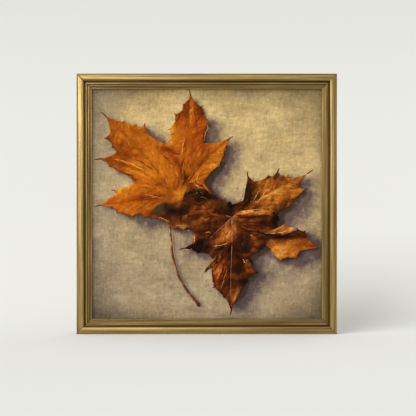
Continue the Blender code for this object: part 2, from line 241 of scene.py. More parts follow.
UPPER_LEAF = (
    (-34, 222, TIP), (-21, 194), (-9, 190, TOOTH), (-8, 175), (4, 159, TOOTH), (-4, 137), (-6, 119),
    (12, 118), (48, 130, TIP), (35, 108), (33, 93, TOOTH), (25, 74, TOOTH), (8, 62), (-5, 44), (-1, 29),
    (-12, 20), (-28, 18), (-44, 8), (-66, 4), (-84, 2), (-101, -8), (-111, -26, TOOTH),
    (-122, -27, TOOTH), (-130, -19), (-146, -25, TOOTH), (-160, -20), (-176, -17, TOOTH), (-184, -6),
    (-217, -5, TIP), (-188, 12), (-176, 19), (-185, 27, TOOTH), (-157, 33), (-141, 42), (-155, 57),
    (-172, 64), (-190, 73, TOOTH), (-196, 82), (-216, 88, TIP), (-186, 94), (-176, 102),
    (-185, 111, TOOTH), (-186, 119), (-199, 128, TOOTH), (-189, 139), (-191, 157), (-203, 177, TIP),
    (-181, 163), (-161, 161, TOOTH), (-148, 153), (-138, 155, TOOTH), (-130, 148), (-121, 157, TOOTH),
    (-118, 140), (-98, 124), (-79, 116), (-70, 131), (-73, 146, TOOTH), (-62, 160), (-63, 175, TOOTH),
    (-48, 182), (-47, 195, TOOTH), (-35, 205),
)
LOWER_LEAF = (
    (79, 60, TIP), (91, 43), (106, 46), (120, 55, TOOTH), (130, 54), (140, 68, TOOTH), (142, 54),
    (158, 55, TOOTH), (173, 50), (205, 65, TIP), (182, 43), (178, 32), (197, 29, TOOTH), (179, 17),
    (171, 6, TOOTH), (161, -4), (146, -12), (137, -18, TOOTH), (142, -30), (134, -42, TOOTH), (128, -56),
    (120, -70), (112, -84), (99, -94), (87, -98), (80, -108), (85, -119), (99, -134, TOOTH), (82, -141),
    (80, -152, TOOTH), (69, -166), (58, -184), (47, -214, TIP), (42, -192), (32, -180, TOOTH), (24, -172),
    (13, -163, TOOTH), (11, -147), (9, -133), (8, -119), (14, -109), (3, -97), (-18, -96, TOOTH),
    (-29, -90), (-50, -88, TIP), (-29, -78), (-25, -66), (-29, -52), (-49, -44), (-56, -22), (-50, -4),
    (-46, 14), (-36, 40), (-22, 44, TOOTH), (-8, 36), (4, 24), (18, 14), (32, 6), (42, 0), (52, -1),
    (71, 6), (75, 27),
)
FOLDED_LOBE = (
    (-124, -22), (-108, -6), (-90, 1), (-70, 3), (-40, 12), (-18, 0), (-20, -40), (-37, -47, TOOTH),
    (-46, -51, TOOTH), (-54, -46), (-66, -50, TOOTH), (-74, -40), (-88, -34, TOOTH), (-100, -28),
    (-112, -29, TOOTH),
)
SIDE_LOBE = (
    (96, -62), (126, -58), (152, -54), (168, -54), (177, -49, TOOTH), (192, -54, TOOTH), (194, -66),
    (224, -88, TIP), (196, -89), (181, -94, TOOTH), (175, -107, TOOTH), (157, -105), (143, -111, TOOTH),
    (132, -102), (124, -88), (114, -80), (98, -84),
)
CURLED_LOBE = (
    (106, -58), (120, -60), (134, -62), (150, -62), (164, -56), (177, -46, TIP), (160, -46),
    (150, -40, TOOTH), (140, -47), (126, -52),
)
CURLED_TOOTH = (
    (20, -98), (24, -107), (17, -112), (8, -121), (-6, -135, TIP), (-2, -126), (6, -116), (14, -108),
)
CURLED_EDGE = (
    (82, -106), (88, -116), (85, -126), (78, -122), (76, -112),
)
ROLLED_RIM = (
    (-9, 48), (-3, 38), (4, 27), (18, 13, TIP), (6, 20), (-4, 29), (-10, 40),
)

UPPER_BASE = (-62, 13)
UPPER_VEINS = (
    (UPPER_BASE, (-46, 75), (-36, 150), (-34, 216)),
    (UPPER_BASE, (-104, 72), (-150, 125), (-197, 171)),
    (UPPER_BASE, (-110, 52), (-160, 75), (-208, 86)),
    (UPPER_BASE, (-110, 12), (-160, 3), (-209, -4)),
    (UPPER_BASE, (-30, 56), (8, 95), (44, 127)),
)
LOWER_BASE = (49, -27)
LOWER_VEINS = (
    (LOWER_BASE, (49, -80), (47, -140), (47, -206)),
    (LOWER_BASE, (26, -48), (-6, -76), (-42, -87)),
    (LOWER_BASE, (92, 4), (150, 36), (198, 61)),
    (LOWER_BASE, (82, -19), (112, -14), (136, -18)),
    (LOWER_BASE, (16, -14), (-16, 6), (-34, 34)),
    (LOWER_BASE, (76, -50), (110, -72), (216, -86)),
)
LOWER_REACH = (0.90, 0.56, 0.18, 0.16, 0.14, 0.10)
STEM = ((-73, -40), (-71, -62), (-67, -100), (-56, -140), (-38, -171), (-20, -192), (-14, -201))

# Lighter and darker places of each leaf: amount, x, z, radius, stretch, angle
UPPER_TOUCHES = (
    (0.34, -31, 176, 1.8, 9, 84), (-0.50, -14, 182, 9, 2.0, 105), (-0.26, -48, 177, 9, 1.5, 60),
    (0.26, -68, 144, 6, 1.4, 70), (0.28, -72, 122, 7, 1.3, 40), (-0.42, -79, 107, 4.5, 3.4, -15),
    (-0.34, -60, 84, 5.5, 3.4, -55), (-0.52, -42, 50, 7, 2.4, -75), (-0.40, -196, 127, 6, 1.3, 0),
    (-0.30, -184, 107, 5, 1.3, 0), (0.20, -148, 81, 4, 8, -14), (0.30, -132, 60, 4, 5, -9),
    (-0.42, -141, 47, 5, 2.4, -10), (0.24, -128, 33, 6, 4, -4), (0.34, -55, 23, 8, 1.7, 30),
    (0.38, 1, 148, 1.6, 8, 66), (0.30, 12, 74, 5, 2.8, -10), (0.18, -88, 64, 16, 1.6, -40),
    (-0.26, -120, 12, 6, 4, 4), (-0.22, -30, 108, 8, 3.2, 80), (0.16, 14, 104, 10, 1.6, 40),
    (-0.30, -112, -18, 7, 2.2, 0), (0.22, -160, 128, 4, 4, -44), (-0.20, -140, 142, 6, 2, -20),
)
LOWER_TOUCHES = (
    (-0.80, 46, -7, 8, 1.5, 60), (-0.55, 82, 20, 6, 3.4, 80), (-0.42, 129, 50, 9, 1.5, 20),
    (0.16, 156, 33, 12, 1.4, 30), (0.80, 92, -17, 3.6, 8.5, 2), (-0.30, 108, -36, 9, 2.0, 0),
    (-0.70, 92, -26, 2.2, 14, 2), (-0.30, 50, -130, 14, 2.5, 85), (-0.16, 20, -20, 30, 1.6, 80),
    (-0.75, 136, -31, 8, 1.8, 80), (0.34, 32, -67, 11, 1.7, 40), (-0.26, 30, -88, 5, 3.0, 8),
    (-0.20, 70, -62, 18, 1.5, 80), (0.60, 89, -64, 3.6, 1.7, -40), (0.60, -6, -29, 3.8, 1.9, 20),
    (0.36, -7, -45, 3.2, 2.0, 0), (0.32, 1, -56, 3.2, 2.0, 30), (-0.52, -4, 17, 12, 1.6, 10),
    (0.46, -17, 34, 6, 1.5, 30), (-0.40, -27, -83, 12, 1.7, 20), (0.55, -25, -68, 2.2, 3.2, 90),
    (0.18, 22, -130, 10, 3.0, 80), (0.26, 15, -92, 6, 1.6, 60), (-0.30, 66, -116, 11, 2.4, 80),
    (0.50, 79, -117, 4.5, 1.6, 60), (-0.22, 72, -156, 9, 2.0, 100), (0.16, -11, -8, 12, 1.6, 0),
    (-0.85, 144, -65, 4.5, 7.0, 2), (0.30, 146, -92, 17, 1.5, 0), (-0.24, 204, -80, 10, 1.6, -30),
    (0.40, 70, -1, 2.2, 3.2, 50), (0.36, 112, 14, 2.0, 7.0, 24), (-0.20, 118, -88, 8, 1.6, 60),
    (0.22, 128, 22, 2.0, 7.0, 58), (0.20, 112, 28, 2.0, 6.0, 66), (-0.34, -66, -12, 14, 1.6, -20),
    (0.14, 150, 10, 24, 1.4, 20),
)

# Single strokes laid over the leaves: colour, greatest width, points
DARK, UMBER, RUST, GOLD = (24, 13, 8), (52, 26, 11), (116, 50, 12), (188, 118, 46)
AMBER, PALE, ROSE = (214, 136, 48), (212, 150, 80), (172, 102, 68)
UPPER_STROKES = (
    (PALE, 1.2, (-32, 200), (-30, 176), (-32, 154)), (AMBER, 1.2, (3, 156), (-2, 138), (-6, 124)),
    (AMBER, 2.2, (-180, 88), (-150, 78), (-112, 58)), (RUST, 3.0, (-80, 112), (-64, 100), (-50, 96)),
    (UMBER, 2.4, (-44, 66), (-42, 48), (-48, 34)), (RUST, 2.6, (-172, 63), (-148, 55), (-138, 44)),
    (RUST, 1.3, (-150, 28), (-124, 32), (-100, 30)), (AMBER, 1.6, (-68, 26), (-58, 20), (-46, 26)),
    (AMBER, 1.5, (-12, 66), (-18, 54), (-20, 42)), (PALE, 1.4, (4, 80), (16, 76), (22, 80)),
    (PALE, 1.4, (-75, 140), (-70, 146), (-64, 142)), (PALE, 1.3, (-74, 124), (-70, 120), (-63, 122)),
    (UMBER, 1.8, (-62, 162), (-56, 166), (-52, 176)), (UMBER, 2.0, (-196, 126), (-186, 122), (-176, 112)),
    (AMBER, 1.5, (-140, 22), (-108, 16), (-84, 10)), (AMBER, 1.4, (-52, 90), (-46, 116), (-42, 140)),
    (RUST, 2.4, (-160, 96), (-130, 82), (-104, 66)), (RUST, 2.2, (-60, 60), (-74, 84), (-96, 104)),
    (RUST, 2.0, (-36, 40), (-22, 64), (4, 90)), (AMBER, 1.6, (-50, 44), (-66, 70), (-90, 92)),
    (RUST, 2.6, (-160, 6), (-126, 8), (-92, 10)), (RUST, 1.6, (-26, 190), (-22, 168), (-20, 146)),
)
LOWER_STROKES = (
    (GOLD, 6.0, (60, -21), (76, -17), (96, -15), (122, -15)),
    (PALE, 1.8, (66, -15), (88, -12), (112, -11)), (UMBER, 2.6, (64, -26), (90, -26), (122, -22)),
    (DARK, 6.5, (44, 4), (46, -6), (48, -20)),
    (DARK, 5.5, (128, -16), (135, -24), (130, -32), (137, -40), (133, -48)),
    (DARK, 3.2, (98, -54), (120, -60), (150, -62), (174, -54)),
    (PALE, 1.6, (112, -57), (140, -57), (162, -50)), (UMBER, 5.0, (80, 46), (82, 24), (78, 2)),
    (PALE, 1.0, (106, 33), (98, 18), (91, 5)), (PALE, 1.0, (124, 40), (112, 20), (98, 1)),
    (PALE, 1.3, (11, -82), (30, -80), (46, -73)), (ROSE, 1.8, (86, -60), (89, -64), (92, -66)),
    (DARK, 4.0, (-20, 26), (-8, 16), (8, 9)), (GOLD, 1.0, (-22, 20), (-15, 23), (-8, 19)),
    (GOLD, 0.9, (-12, 13), (-6, 13), (0, 10)), (GOLD, 3.2, (-24, 38), (-14, 33), (-6, 30)),
    (DARK, 3.0, (-46, 14), (-34, 22), (-22, 22)), (GOLD, 1.7, (-12, -27), (-6, -30), (0, -33)),
    (RUST, 2.0, (-12, -46), (-6, -44), (-1, -47)), (GOLD, 1.4, (-4, -57), (2, -55), (7, -58)),
    (PALE, 1.3, (-26, -62), (-24, -70), (-27, -78)), (PALE, 1.2, (-46, -88), (-36, -90), (-28, -89)),
    (DARK, 3.0, (14, -104), (20, -112), (14, -120)), (DARK, 2.4, (-5, -133), (4, -127), (12, -121)),
    (GOLD, 1.4, (2, -122), (10, -112), (18, -104)), (PALE, 1.0, (70, -108), (74, -114), (80, -117)),
    (DARK, 2.6, (74, -104), (86, -110), (90, -122)), (UMBER, 2.4, (22, -150), (30, -134), (34, -116)),
    (GOLD, 1.2, (28, -166), (34, -146), (40, -128)), (ROSE, 1.2, (52, 2), (66, 8), (73, 24)),
    (UMBER, 3.0, (58, -60), (66, -80), (64, -100)), (RUST, 3.0, (28, -24), (10, -20), (-8, -10)),
    (RUST, 3.6, (66, -44), (84, -50), (98, -52)), (RUST, 1.8, (-30, 6), (-20, 0), (-8, 2)),
    (GOLD, 2.0, (-64, -46), (-52, -42), (-40, -44)), (GOLD, 1.6, (-96, -26), (-84, -30), (-72, -36)),
)


def places_and_kinds(points):
    """The places of drawn points, and whether each is a tip, a tooth or a soft turn."""
    kinds = [point[2] if len(point) > 2 else SOFT for point in points]
    return np.array([point[:2] for point in points], float), kinds


EDGE_STEP = 1.5


def outline(points, seed, teeth=1.5):
    """A leaf's closed edge through its drawn points: bowed in towards each tip, and finely toothed."""
    generator = np.random.default_rng(seed)
    places, kinds = places_and_kinds(points)
    area = sum(a[0] * b[1] - b[0] * a[1] for a, b in zip(places, np.roll(places, -1, 0)))
    inward = 1 if area > 0 else -1
    made, sharp = [], []
    for number, start in enumerate(places):
        after = (number + 1) % len(places)
        run = places[after] - start
        length = np.hypot(*run)
        normal = np.array((-run[1], run[0])) / length * inward
        count = max(2, round(length / EDGE_STEP))
        phase, pitch = generator.uniform(0, 1), generator.uniform(5.5, 8.5)
        for part in range(count):
            share = part / count
            bow = BOW[kinds[number]] * (1 - share) + BOW[kinds[after]] * share
            bow *= 4 * length * share * (1 - share)
            saw = ((share * length / pitch + phase) % 1.0 - 0.5) * teeth * math.sin(math.pi * share) ** 0.5
            rough = generator.normal(0, 0.3) if part and teeth else 0
            made.append(start + run * share + normal * (bow + saw + rough))
            sharp.append(part == 0 and kinds[number] != SOFT)
    made = np.array(made)
    near = (np.roll(made, 1, 0) + np.roll(made, -1, 0)) / 2
    return made + (near - made) * np.where(sharp, 0.0, 0.4)[:, None]


VEIN_PAIRS, VEIN_ANGLE, VEIN_BEND = 6, math.radians(42), math.radians(14)


def side_veins(main, lengths):
    """Side veins in pairs off a main vein, curving towards its tip; each shorter than the last."""
    line = curve(main, 40)
    total = np.hypot(*(line[-1] - line[0]))
    made = []
    for number in range(VEIN_PAIRS):
        for side in (1, -1):
            share = 0.16 + 0.70 * (number + (0.25 if side > 0 else 0)) / VEIN_PAIRS
            place = int(share * 39)
            heading = line[min(place + 1, 39)] - line[place]
            turn = math.atan2(heading[1], heading[0]) + side * VEIN_ANGLE
            reach = total * lengths * (1 - share) ** 0.7
            middle = line[place] + 0.5 * reach * np.array((math.cos(turn), math.sin(turn)))
            turn -= side * VEIN_BEND
            far = middle + 0.5 * reach * np.array((math.cos(turn), math.sin(turn)))
            made.append(curve((line[place], middle, far), 6))
    return made


def shaded(height):
    """How much of the painted light a surface of this height takes, about 0 where it is level."""
    slope_z, slope_x = np.gradient(height, FIELD_STEP)
    size = np.sqrt(slope_x**2 + slope_z**2 + 1)
    light = (-slope_x * PAINT_LIGHT[0] - slope_z * PAINT_LIGHT[1] + PAINT_LIGHT[2]) / size
    return light - PAINT_LIGHT[2]


def leaf_height(main_veins, minor_veins, edge, seed, puff, fold, crumple):
    """A leaf's height, puffed up between its veins, creased and curled, and how far its veins are."""
    main = distance([curve(vein, 30) for vein in main_veins], 60)
    minor = distance(minor_veins, 10)
    height = 2.6 * puff * (1 - np.exp(-main / 9.0)) + 1.0 * puff * (1 - np.exp(-minor / 3.0))
    height += fold * 4.2 * noise(seed, 26)
    height += crumple * (2.4 * abs(noise(seed + 1, 9)) + 0.9 * abs(noise(seed + 2, 4)))
    height += 0.10 * noise(seed + 3, 1.4)
    height += 2.2 * fold * noise(seed + 4, 14) * np.exp(-edge / 7.0)
    return height, main, minor


def rims(region):
    """1 on a piece's edges that face the painted light, -1 on those that face away."""
    toward = shaded(6 * gaussian(region["mask"], 1.6, 1.6))
    return np.clip(toward / 0.25, -1, 1)


ORANGE = ((-1.0, (48, 18, 6)), (-0.6, (92, 36, 8)), (-0.25, (138, 60, 11)), (0.0, (171, 87, 16)),
          (0.2, (190, 105, 21)), (0.42, (212, 134, 44)), (0.8, (236, 180, 98)))
RUSSET = ((-1.0, (16, 9, 6)), (-0.5, (40, 17, 7)), (-0.18, (68, 30, 9)), (0.0, (90, 41, 12)),
          (0.2, (124, 60, 17)), (0.42, (162, 90, 32)), (0.8, (218, 158, 92)))
GOLDEN = ((-1.0, (34, 18, 8)), (-0.5, (82, 38, 11)), (-0.18, (130, 66, 17)), (0.0, (158, 88, 24)),
          (0.2, (176, 104, 34)), (0.42, (200, 132, 56)), (0.8, (228, 174, 98)))


def leaf_heading(base, seed):
    """The way of the brush on a leaf: out from its base, and swaying."""
    return np.arctan2(Z - base[1], X - base[0]) + 0.5 * noise(seed, 14)


def paint_upper_leaf(region):
    """The upper leaf's colours, orange with red and yellow places, and its height."""
    edge = distance([region["closed"]], 14)
    minor = [line for vein in UPPER_VEINS for line in side_veins(vein, 0.36)]
    height, main, fine = leaf_height(UPPER_VEINS, minor, edge, 11, 1.0, 1.2, 0.5)
    tone = 0.68 * shaded(height) + 0.06 * noise(31, 18) + 0.05
    tone = touched(tone, UPPER_TOUCHES)
    tone -= 0.26 * np.exp(-edge / 1.5) * (noise(41, 6) > -0.1)
    tone += 0.26 * np.exp(-edge / 1.4) * rims(region) * (1 + 0.5 * noise(42, 5))
    tone += 0.12 * np.exp(-((fine / 0.8) ** 2)) - 0.12 * np.exp(-(((fine - 2.0) / 1.2) ** 2))
    tone -= 0.12 * np.exp(-((main / 3.0) ** 2))
    colour = ramp(tone, ORANGE)
    red = 0.2 * smooth(0.2, 1.8, noise(51, 20)) + 0.45 * spot(-20, 150, 34, 1.4, 80)
    red += 0.5 * spot(-185, 0, 22, 2.0, 10) + 0.5 * spot(-66, 92, 10, 3.0, -40)
    colour = blend(colour, colour * (0.92, 0.68, 0.62), red)
    yellow = 0.3 + smooth(0.2, 1.7, noise(52, 16)) * 0.7
    colour = blend(colour, colour * (1.02, 1.12, 0.95), yellow)
    heading = leaf_heading(UPPER_BASE, 53)
    colour = blend(colour, brushed(colour, region["mask"], heading, 54, 12, 3.2, 3.0, 0.09), 0.85)
    return brushed(colour, region["mask"], heading, 55, 7, 1.5, 0.8, 0.14), height


def paint_lower_leaf(region):
    """The lower leaf's colours, russet with golden lobes, and its height."""
    edge = distance([region["closed"]], 14)
    minor = [line for vein in LOWER_VEINS for line in side_veins(vein, 0.40)]
    height, main, fine = leaf_height(LOWER_VEINS, minor, edge, 61, 1.25, 1.35, 0.9)
    calm = 1 - 0.6 * spot(165, -84, 44)
    tone = 0.85 * shaded(height) * calm + 0.11 * noise(81, 12) * calm - 0.03
    tone = touched(tone, LOWER_TOUCHES)
    # its left edge runs into the folded lobe without a line
    apart = 1 - smooth(-34, -46, X) * smooth(-60, -46, Z)
    tone -= 0.22 * apart * np.exp(-edge / 1.8) * (noise(91, 6) > -0.1)
    tone += 0.24 * apart * np.exp(-edge / 1.3) * rims(region) * (1 + 0.6 * noise(92, 5))
    tone += 0.12 * np.exp(-((fine / 0.8) ** 2)) - 0.14 * np.exp(-(((fine - 2.0) / 1.2) ** 2))
    tone -= 0.10 * np.exp(-((main / 3.5) ** 2))
    # the lobes at the right are golden, and the middle is in the shade
    golden = smooth(66, 104, X) * smooth(-40, -8, Z)
    golden = np.maximum(golden, smooth(110, 134, X) * smooth(-64, -78, Z))
    colour = blend(ramp(tone, RUSSET), ramp(tone + 0.06, GOLDEN), golden)
    meeting = spot(-30, 30, 13, 1.4, 40)
    colour = blend(colour, ramp(tone - 0.22, GOLDEN), 1.1 * meeting)
    red = smooth(0.0, 1.5, noise(95, 12)) * 0.75 * (1 - golden) + 0.3 * spot(190, -70, 22)
    colour = blend(colour, colour * (1.05, 0.82, 0.72), red)
    patches = smooth(0.7, 1.5, noise(94, 9)) * (1 - golden) * 0.45
    colour = blend(colour, ramp(tone + 0.05, GOLDEN), patches)
    olive = smooth(0.5, 1.8, noise(96, 12)) * 0.5
    colour = blend(colour, colour * (0.96, 1.06, 1.0), olive)
    heading = leaf_heading(LOWER_BASE, 97)
    colour = blend(colour, brushed(colour, region["mask"], heading, 98, 9, 2.8, 3.0, 0.13), 0.85)
    return brushed(colour, region["mask"], heading, 99, 5, 1.4, 0.9, 0.24), height


def paint_piece(region, seed, stops, level, relief=1.0):
    """Paint for a small curled piece of leaf."""
    edge = distance([region["closed"]], 6)
    height = 3.0 * relief * noise(seed, 9) + 0.8 * noise(seed + 1, 3.5) + 0.1 * noise(seed + 2, 1.4)
    tone = level + 0.6 * shaded(height) + 0.10 * noise(seed + 4, 4)
    tone += 0.50 * np.exp(-edge / 1.3) * rims(region)
    return ramp(tone, stops), height


def paint_folded_lobe(region):
    """The lobe folded under: brown, dark at its top, with grey-green on its turned-over end."""
    colour, height = paint_piece(region, 201, RUSSET, 0.0)
    edge = distance([region["closed"]], 10)
    colour = colour * (1 - 0.55 * spot(-68, -12, 14, 1.6, -20) - 0.3 * spot(-30, -10, 12))[..., None]
    lit = np.exp(-edge / 4.0) * smooth(-14, -36, Z)
    colour = blend(colour, np.array((158.0, 84, 28)), 0.75 * lit)
    colour = blend(colour, np.array((196.0, 130, 56)), 0.8 * spot(-46, -46, 4, 2.2, 10))
    under = smooth(-76, -92, X) * smooth(-22, -14, Z)
    colour = blend(colour, np.array((62.0, 50, 34)) * (1 + 0.14 * noise(207, 3))[..., None], 0.85 * under)
    heading = 0.35 + 0.5 * noise(208, 12)
    return brushed(colour, region["mask"], heading, 209, 8, 2.4, 2.5, 0.14), height


def moved(field, right, down):
    """The field shifted by so many whole mm."""
    return np.roll(np.roll(field, right, 1), -down, 0)


def soft(field, across):
    """A mask blurred by so many mm."""
    return np.clip(gaussian(field, across, across), 0, 1)


def paint_ground(leaves, stem):
    """The cream ground, darker to its corners, with the leaves' soft violet-grey shadows."""
    rise = smooth(-230, 190, Z)
    colour = blend(np.array((163.0, 143, 115)), np.array((206.0, 178, 125)), rise)
    colour = blend(colour, np.array((157.0, 139, 116)), 0.75 * smooth(-130, -226, X))
    reach = np.sqrt((X / 236) ** 2 + (Z / 236) ** 2)
    dark = 0.30 * smooth(0.92, 1.38, reach) + 0.08 * smooth(0.88, 1.0, np.maximum(abs(X), abs(Z)) / 224)
    dark += 0.12 * smooth(170, 225, Z) * (1 - 0.5 * spot(-30, 190, 90))
    dark *= 1 - 0.6 * spot(-205, 200, 70) - 0.5 * spot(205, 200, 70)
    dark += 0.05 * smooth(-60, 110, X) * smooth(-30, 90, Z) + 0.04 * smooth(20, 120, Z)
    colour = colour * (1 - dark[..., None]) * (1, 0.995, 0.97)
    grain = 0.026 * noise(101, 3.5, 0.7) + 0.026 * noise(102, 0.7, 3.5) + 0.024 * noise(103, 0.8)
    blots = 0.030 * noise(104, 28) + 0.028 * noise(105, 8) + 0.018 * noise(115, 9, 2.5)
    colour = colour * (1 + blots)[..., None]
    warm = smooth(0.3, 2.0, noise(106, 16)) * 0.25
    colour = blend(colour, colour * (1.03, 0.97, 0.86), warm)

    # shadows: a broad one that the curled leaves throw to the right, and a dark one against their edges
    lifted = smooth(176, 150, Z) * (1 - 0.5 * smooth(-96, -130, X) * smooth(-60, 0, Z))
    ragged = 0.05 * noise(107, 1.2) + 0.08 * noise(108, 4)
    broad = 0.8 * soft(moved(leaves, 8, 6), 4) + 0.9 * soft(moved(leaves, 17, 9), 7) * lifted
    broad += 0.7 * soft(moved(leaves, 29, 15), 11) * lifted
    broad += 0.40 * spot(-26, -92, 32, 1.4, 10) + 0.30 * spot(150, -120, 30, 2.0, 10)
    broad += 0.45 * spot(186, -6, 24, 1.6, 90) + 0.55 * spot(-112, -42, 15, 2.0, -20)
    broad = np.clip(1.1 * broad * (1 + 2.5 * ragged), 0, 1)
    broad = np.maximum(broad, 0.8 * soft(moved(stem, 5, 1), 2.4) + 0.5 * soft(moved(stem, 10, 3), 5))
    colour = blend(colour, colour * (0.53, 0.50, 0.63), broad)
    deepest = 0.5 + 2.8 * spot(13, 38, 26, 1.4, 90) + 1.2 * spot(150, -30, 30, 1.4, 40)
    deepest += 1.3 * spot(104, -108, 32, 2.0, 20) + 0.6 * spot(10, 112, 20)
    deepest += 0.7 * spot(70, -165, 22) + 1.6 * spot(-148, 40, 16) + 0.5 * spot(-60, -52, 22)
    deep = 1.5 * soft(moved(leaves, 10, 5), 4) * (1 + 2 * ragged) * deepest
    colour = blend(colour, np.array((56.0, 42, 34)), 0.90 * smooth(0.2, 1.25, deep))
    contact = soft(moved(leaves, 2, 2), 1.5)
    colour = blend(colour, colour * 0.55, 0.6 * smooth(0.2, 0.9, contact))

    across = np.where(noise(111, 2.0) > 0, 0.0, math.pi / 2)
    colour = brushed(colour, np.ones_like(X), across, 112, 10, 2.2, 0.9, 0.045)
    colour = colour * (1 + grain)[..., None]
    # stray dark flecks and scratches near the leaves
    close = smooth(0.4, 1.6, noise(110, 20) + 2.2 * soft(leaves, 16) + 1.6 * spot(66, 36, 22))
    marks = np.maximum(noise(109, 1.0), 0.9 * noise(113, 2.6, 0.7))
    fleck = smooth(2.0, 2.8, marks) * close
    pale = smooth(2.2, 3.0, noise(114, 0.7, 2.2)) * close
    colour = blend(colour, np.array((96.0, 74, 50)), 0.75 * fleck)
    return blend(colour, np.array((206.0, 186, 148)), 0.5 * pale), grain


# ---------------------------------------------------------------- meshes and materials


def linear(colour):
    """Colours from 0 to 255 as the shader's linear numbers."""
    value = np.clip(np.asarray(colour, float) / 255, 0, 1)
    return np.where(value <= 0.04045, value / 12.92, ((value + 0.055) / 1.055) ** 2.4)


def shader_colour(colour):
    """One colour, from 0 to 255, as a shader's four numbers."""
    return (*linear(colour), 1)


def linked(name, data):
    """A new object of some data, in the scene."""
    obj = bpy.data.objects.new(name, data)
    bpy.context.scene.collection.objects.link(obj)
    return obj


def finished(name, verts, faces, materials, smooth_faces=True):
    """A new mesh piece in the scene."""
    mesh = bpy.data.meshes.new(name)
    mesh.from_pydata([tuple(v) for v in verts], [], [tuple(f) for f in faces])
    mesh.update()
    for material in materials:
        mesh.materials.append(material)
    if smooth_faces:
        mesh.shade_smooth()
    return linked(name, mesh)


def face_out(obj):
    """Turns all faces of a closed piece outwards."""
    bm = bmesh.new()
    bm.from_mesh(obj.data)
    bmesh.ops.recalc_face_normals(bm, faces=bm.faces)
    bm.to_mesh(obj.data)
    bm.free()


def set_colours(obj, colours):
    """Stores one paint colour for each point of a piece."""
    layer = obj.data.color_attributes.new("paint", "FLOAT_COLOR", "POINT")
    layer.data.foreach_set("color", np.column_stack([colours, np.ones(len(colours))]).ravel())


def in_place(points, y):
    """Picture points in mm, with a depth y in metres, in the object's own frame."""
    return np.column_stack([points[:, 0] * MM + CENTRE.x, y, points[:, 1] * MM + CENTRE.z])


RELIEF = 0.05  # mm of paint for each mm of the leaf's height


def paint_patch(name, region, colour, height, lift, material, step=1.5):
    """A piece of paint of some outline: its relief on top, a rim, and a flat back on the ground."""
    line = region["line"]
    low, high = line.min(0), line.max(0)
    xs, zs = np.meshgrid(np.arange(low[0], high[0], step), np.arange(low[1], high[1], step))
    jitter = np.random.default_rng(len(line)).uniform(-0.3, 0.3, (xs.size, 2)) * step
    grid = np.column_stack([xs.ravel(), zs.ravel()]) + jitter
    edge = distance([region["closed"]], 8)
    grid = grid[inside(grid, line)]
    grid = grid[sample(edge, grid) > 0.55 * step]
    rim = [(number, (number + 1) % len(line)) for number in range(len(line))]
    points = [Vector(p) for p in np.vstack([line, grid])]
    verts, _, faces, _, _, _ = delaunay_2d_cdt(points, rim, [], 1, 1e-5)
    top = np.array([tuple(v) for v in verts])
    a, b, c = (top[i] for i in faces[0][:3])
    if np.cross(b - a, c - a) < 0:
        faces = [tuple(reversed(face)) for face in faces]
    used = {(a, b) for face in faces for a, b in zip(face, list(face[1:]) + [face[0]])}
    rim = [(a, b) for a, b in used if (b, a) not in used]
    on_rim = sorted({a for pair in rim for a in pair})
    order = {a: number for number, a in enumerate(on_rim)}
    crown = lift + MM * (RELIEF * sample(height - height.mean(), top) + 0.05)
    crown = np.maximum(crown, lift - 0.12 * MM)
    crown[on_rim] = lift - 0.08 * MM

    # the back: the rim again, down on the ground, filled flat
    base, count = len(top), len(on_rim)
    loop = [Vector(top[a]) for a in on_rim]
    back_edges = [(order[a], order[b]) for a, b in rim]
    back = []
    for face in delaunay_2d_cdt(loop, back_edges, [], 1, 1e-6)[2]:
        a, b, c = (np.array(loop[i]) for i in face[:3])
        if np.cross(b - a, c - a) > 0:
            face = reversed(face)
        back.append([base + i for i in face])
    sides = [(b, a, base + order[a], base + order[b]) for a, b in rim]
    y = np.concatenate([CANVAS_Y - crown, np.full(count, CANVAS_Y - GROUND_LIFT)])
    every = np.vstack([top, top[on_rim]])
    obj = finished(name, in_place(every, y), faces + sides + back, [material])
    set_colours(obj, linear(sample(colour, every)))
    return obj


def strokes(name, lines, colours, lift, material, across=5):
    """Raised strokes of paint, each (points, widths), round on top and flat below, as one piece."""
    points, depth, faces, paint = [], [], [], []
    for (line, widths), colour in zip(lines, colours):
        base = sum(len(part) for part in points)
        heading = np.gradient(line, axis=0)
        heading /= np.hypot(heading[:, 0], heading[:, 1])[:, None]
        normal = np.column_stack([-heading[:, 1], heading[:, 0]])
        long = len(line)
        for number in range(across):
            share = -1 + 2 * number / (across - 1)
            points.append(line + normal * (share * widths / 2)[:, None])
            depth.append(lift + MM * 0.11 * widths * math.sqrt(max(0, 1 - share * share)))
            paint.append(sample(colour, points[-1]) if colour.ndim == 3 else np.tile(colour, (long, 1)))
        for row in range(across):
            start, other = base + row * long, base + (row + 1) % across * long
            faces += [(start + i, start + i + 1, other + i + 1, other + i) for i in range(long - 1)]
        faces.append([base + row * long for row in reversed(range(across))])
        faces.append([base + row * long + long - 1 for row in range(across)])
    points, depth, paint = np.concatenate(points), np.concatenate(depth), np.concatenate(paint)
    obj = finished(name, in_place(points, CANVAS_Y - depth), faces, [material])
    face_out(obj)
    set_colours(obj, linear(paint))
    return obj


def tapered(line, start, stop):
    """A stroke's line with its widths."""
    return line, np.linspace(start, stop, len(line))


ACCENT_POINTS = 24


def swaying(generator, shape):
    """Random numbers that sway along a line instead of jumping."""
    values = generator.normal(0, 1, shape)
    return (values + np.roll(values, 1, 0) + np.roll(values, 2, 0)) / 1.7


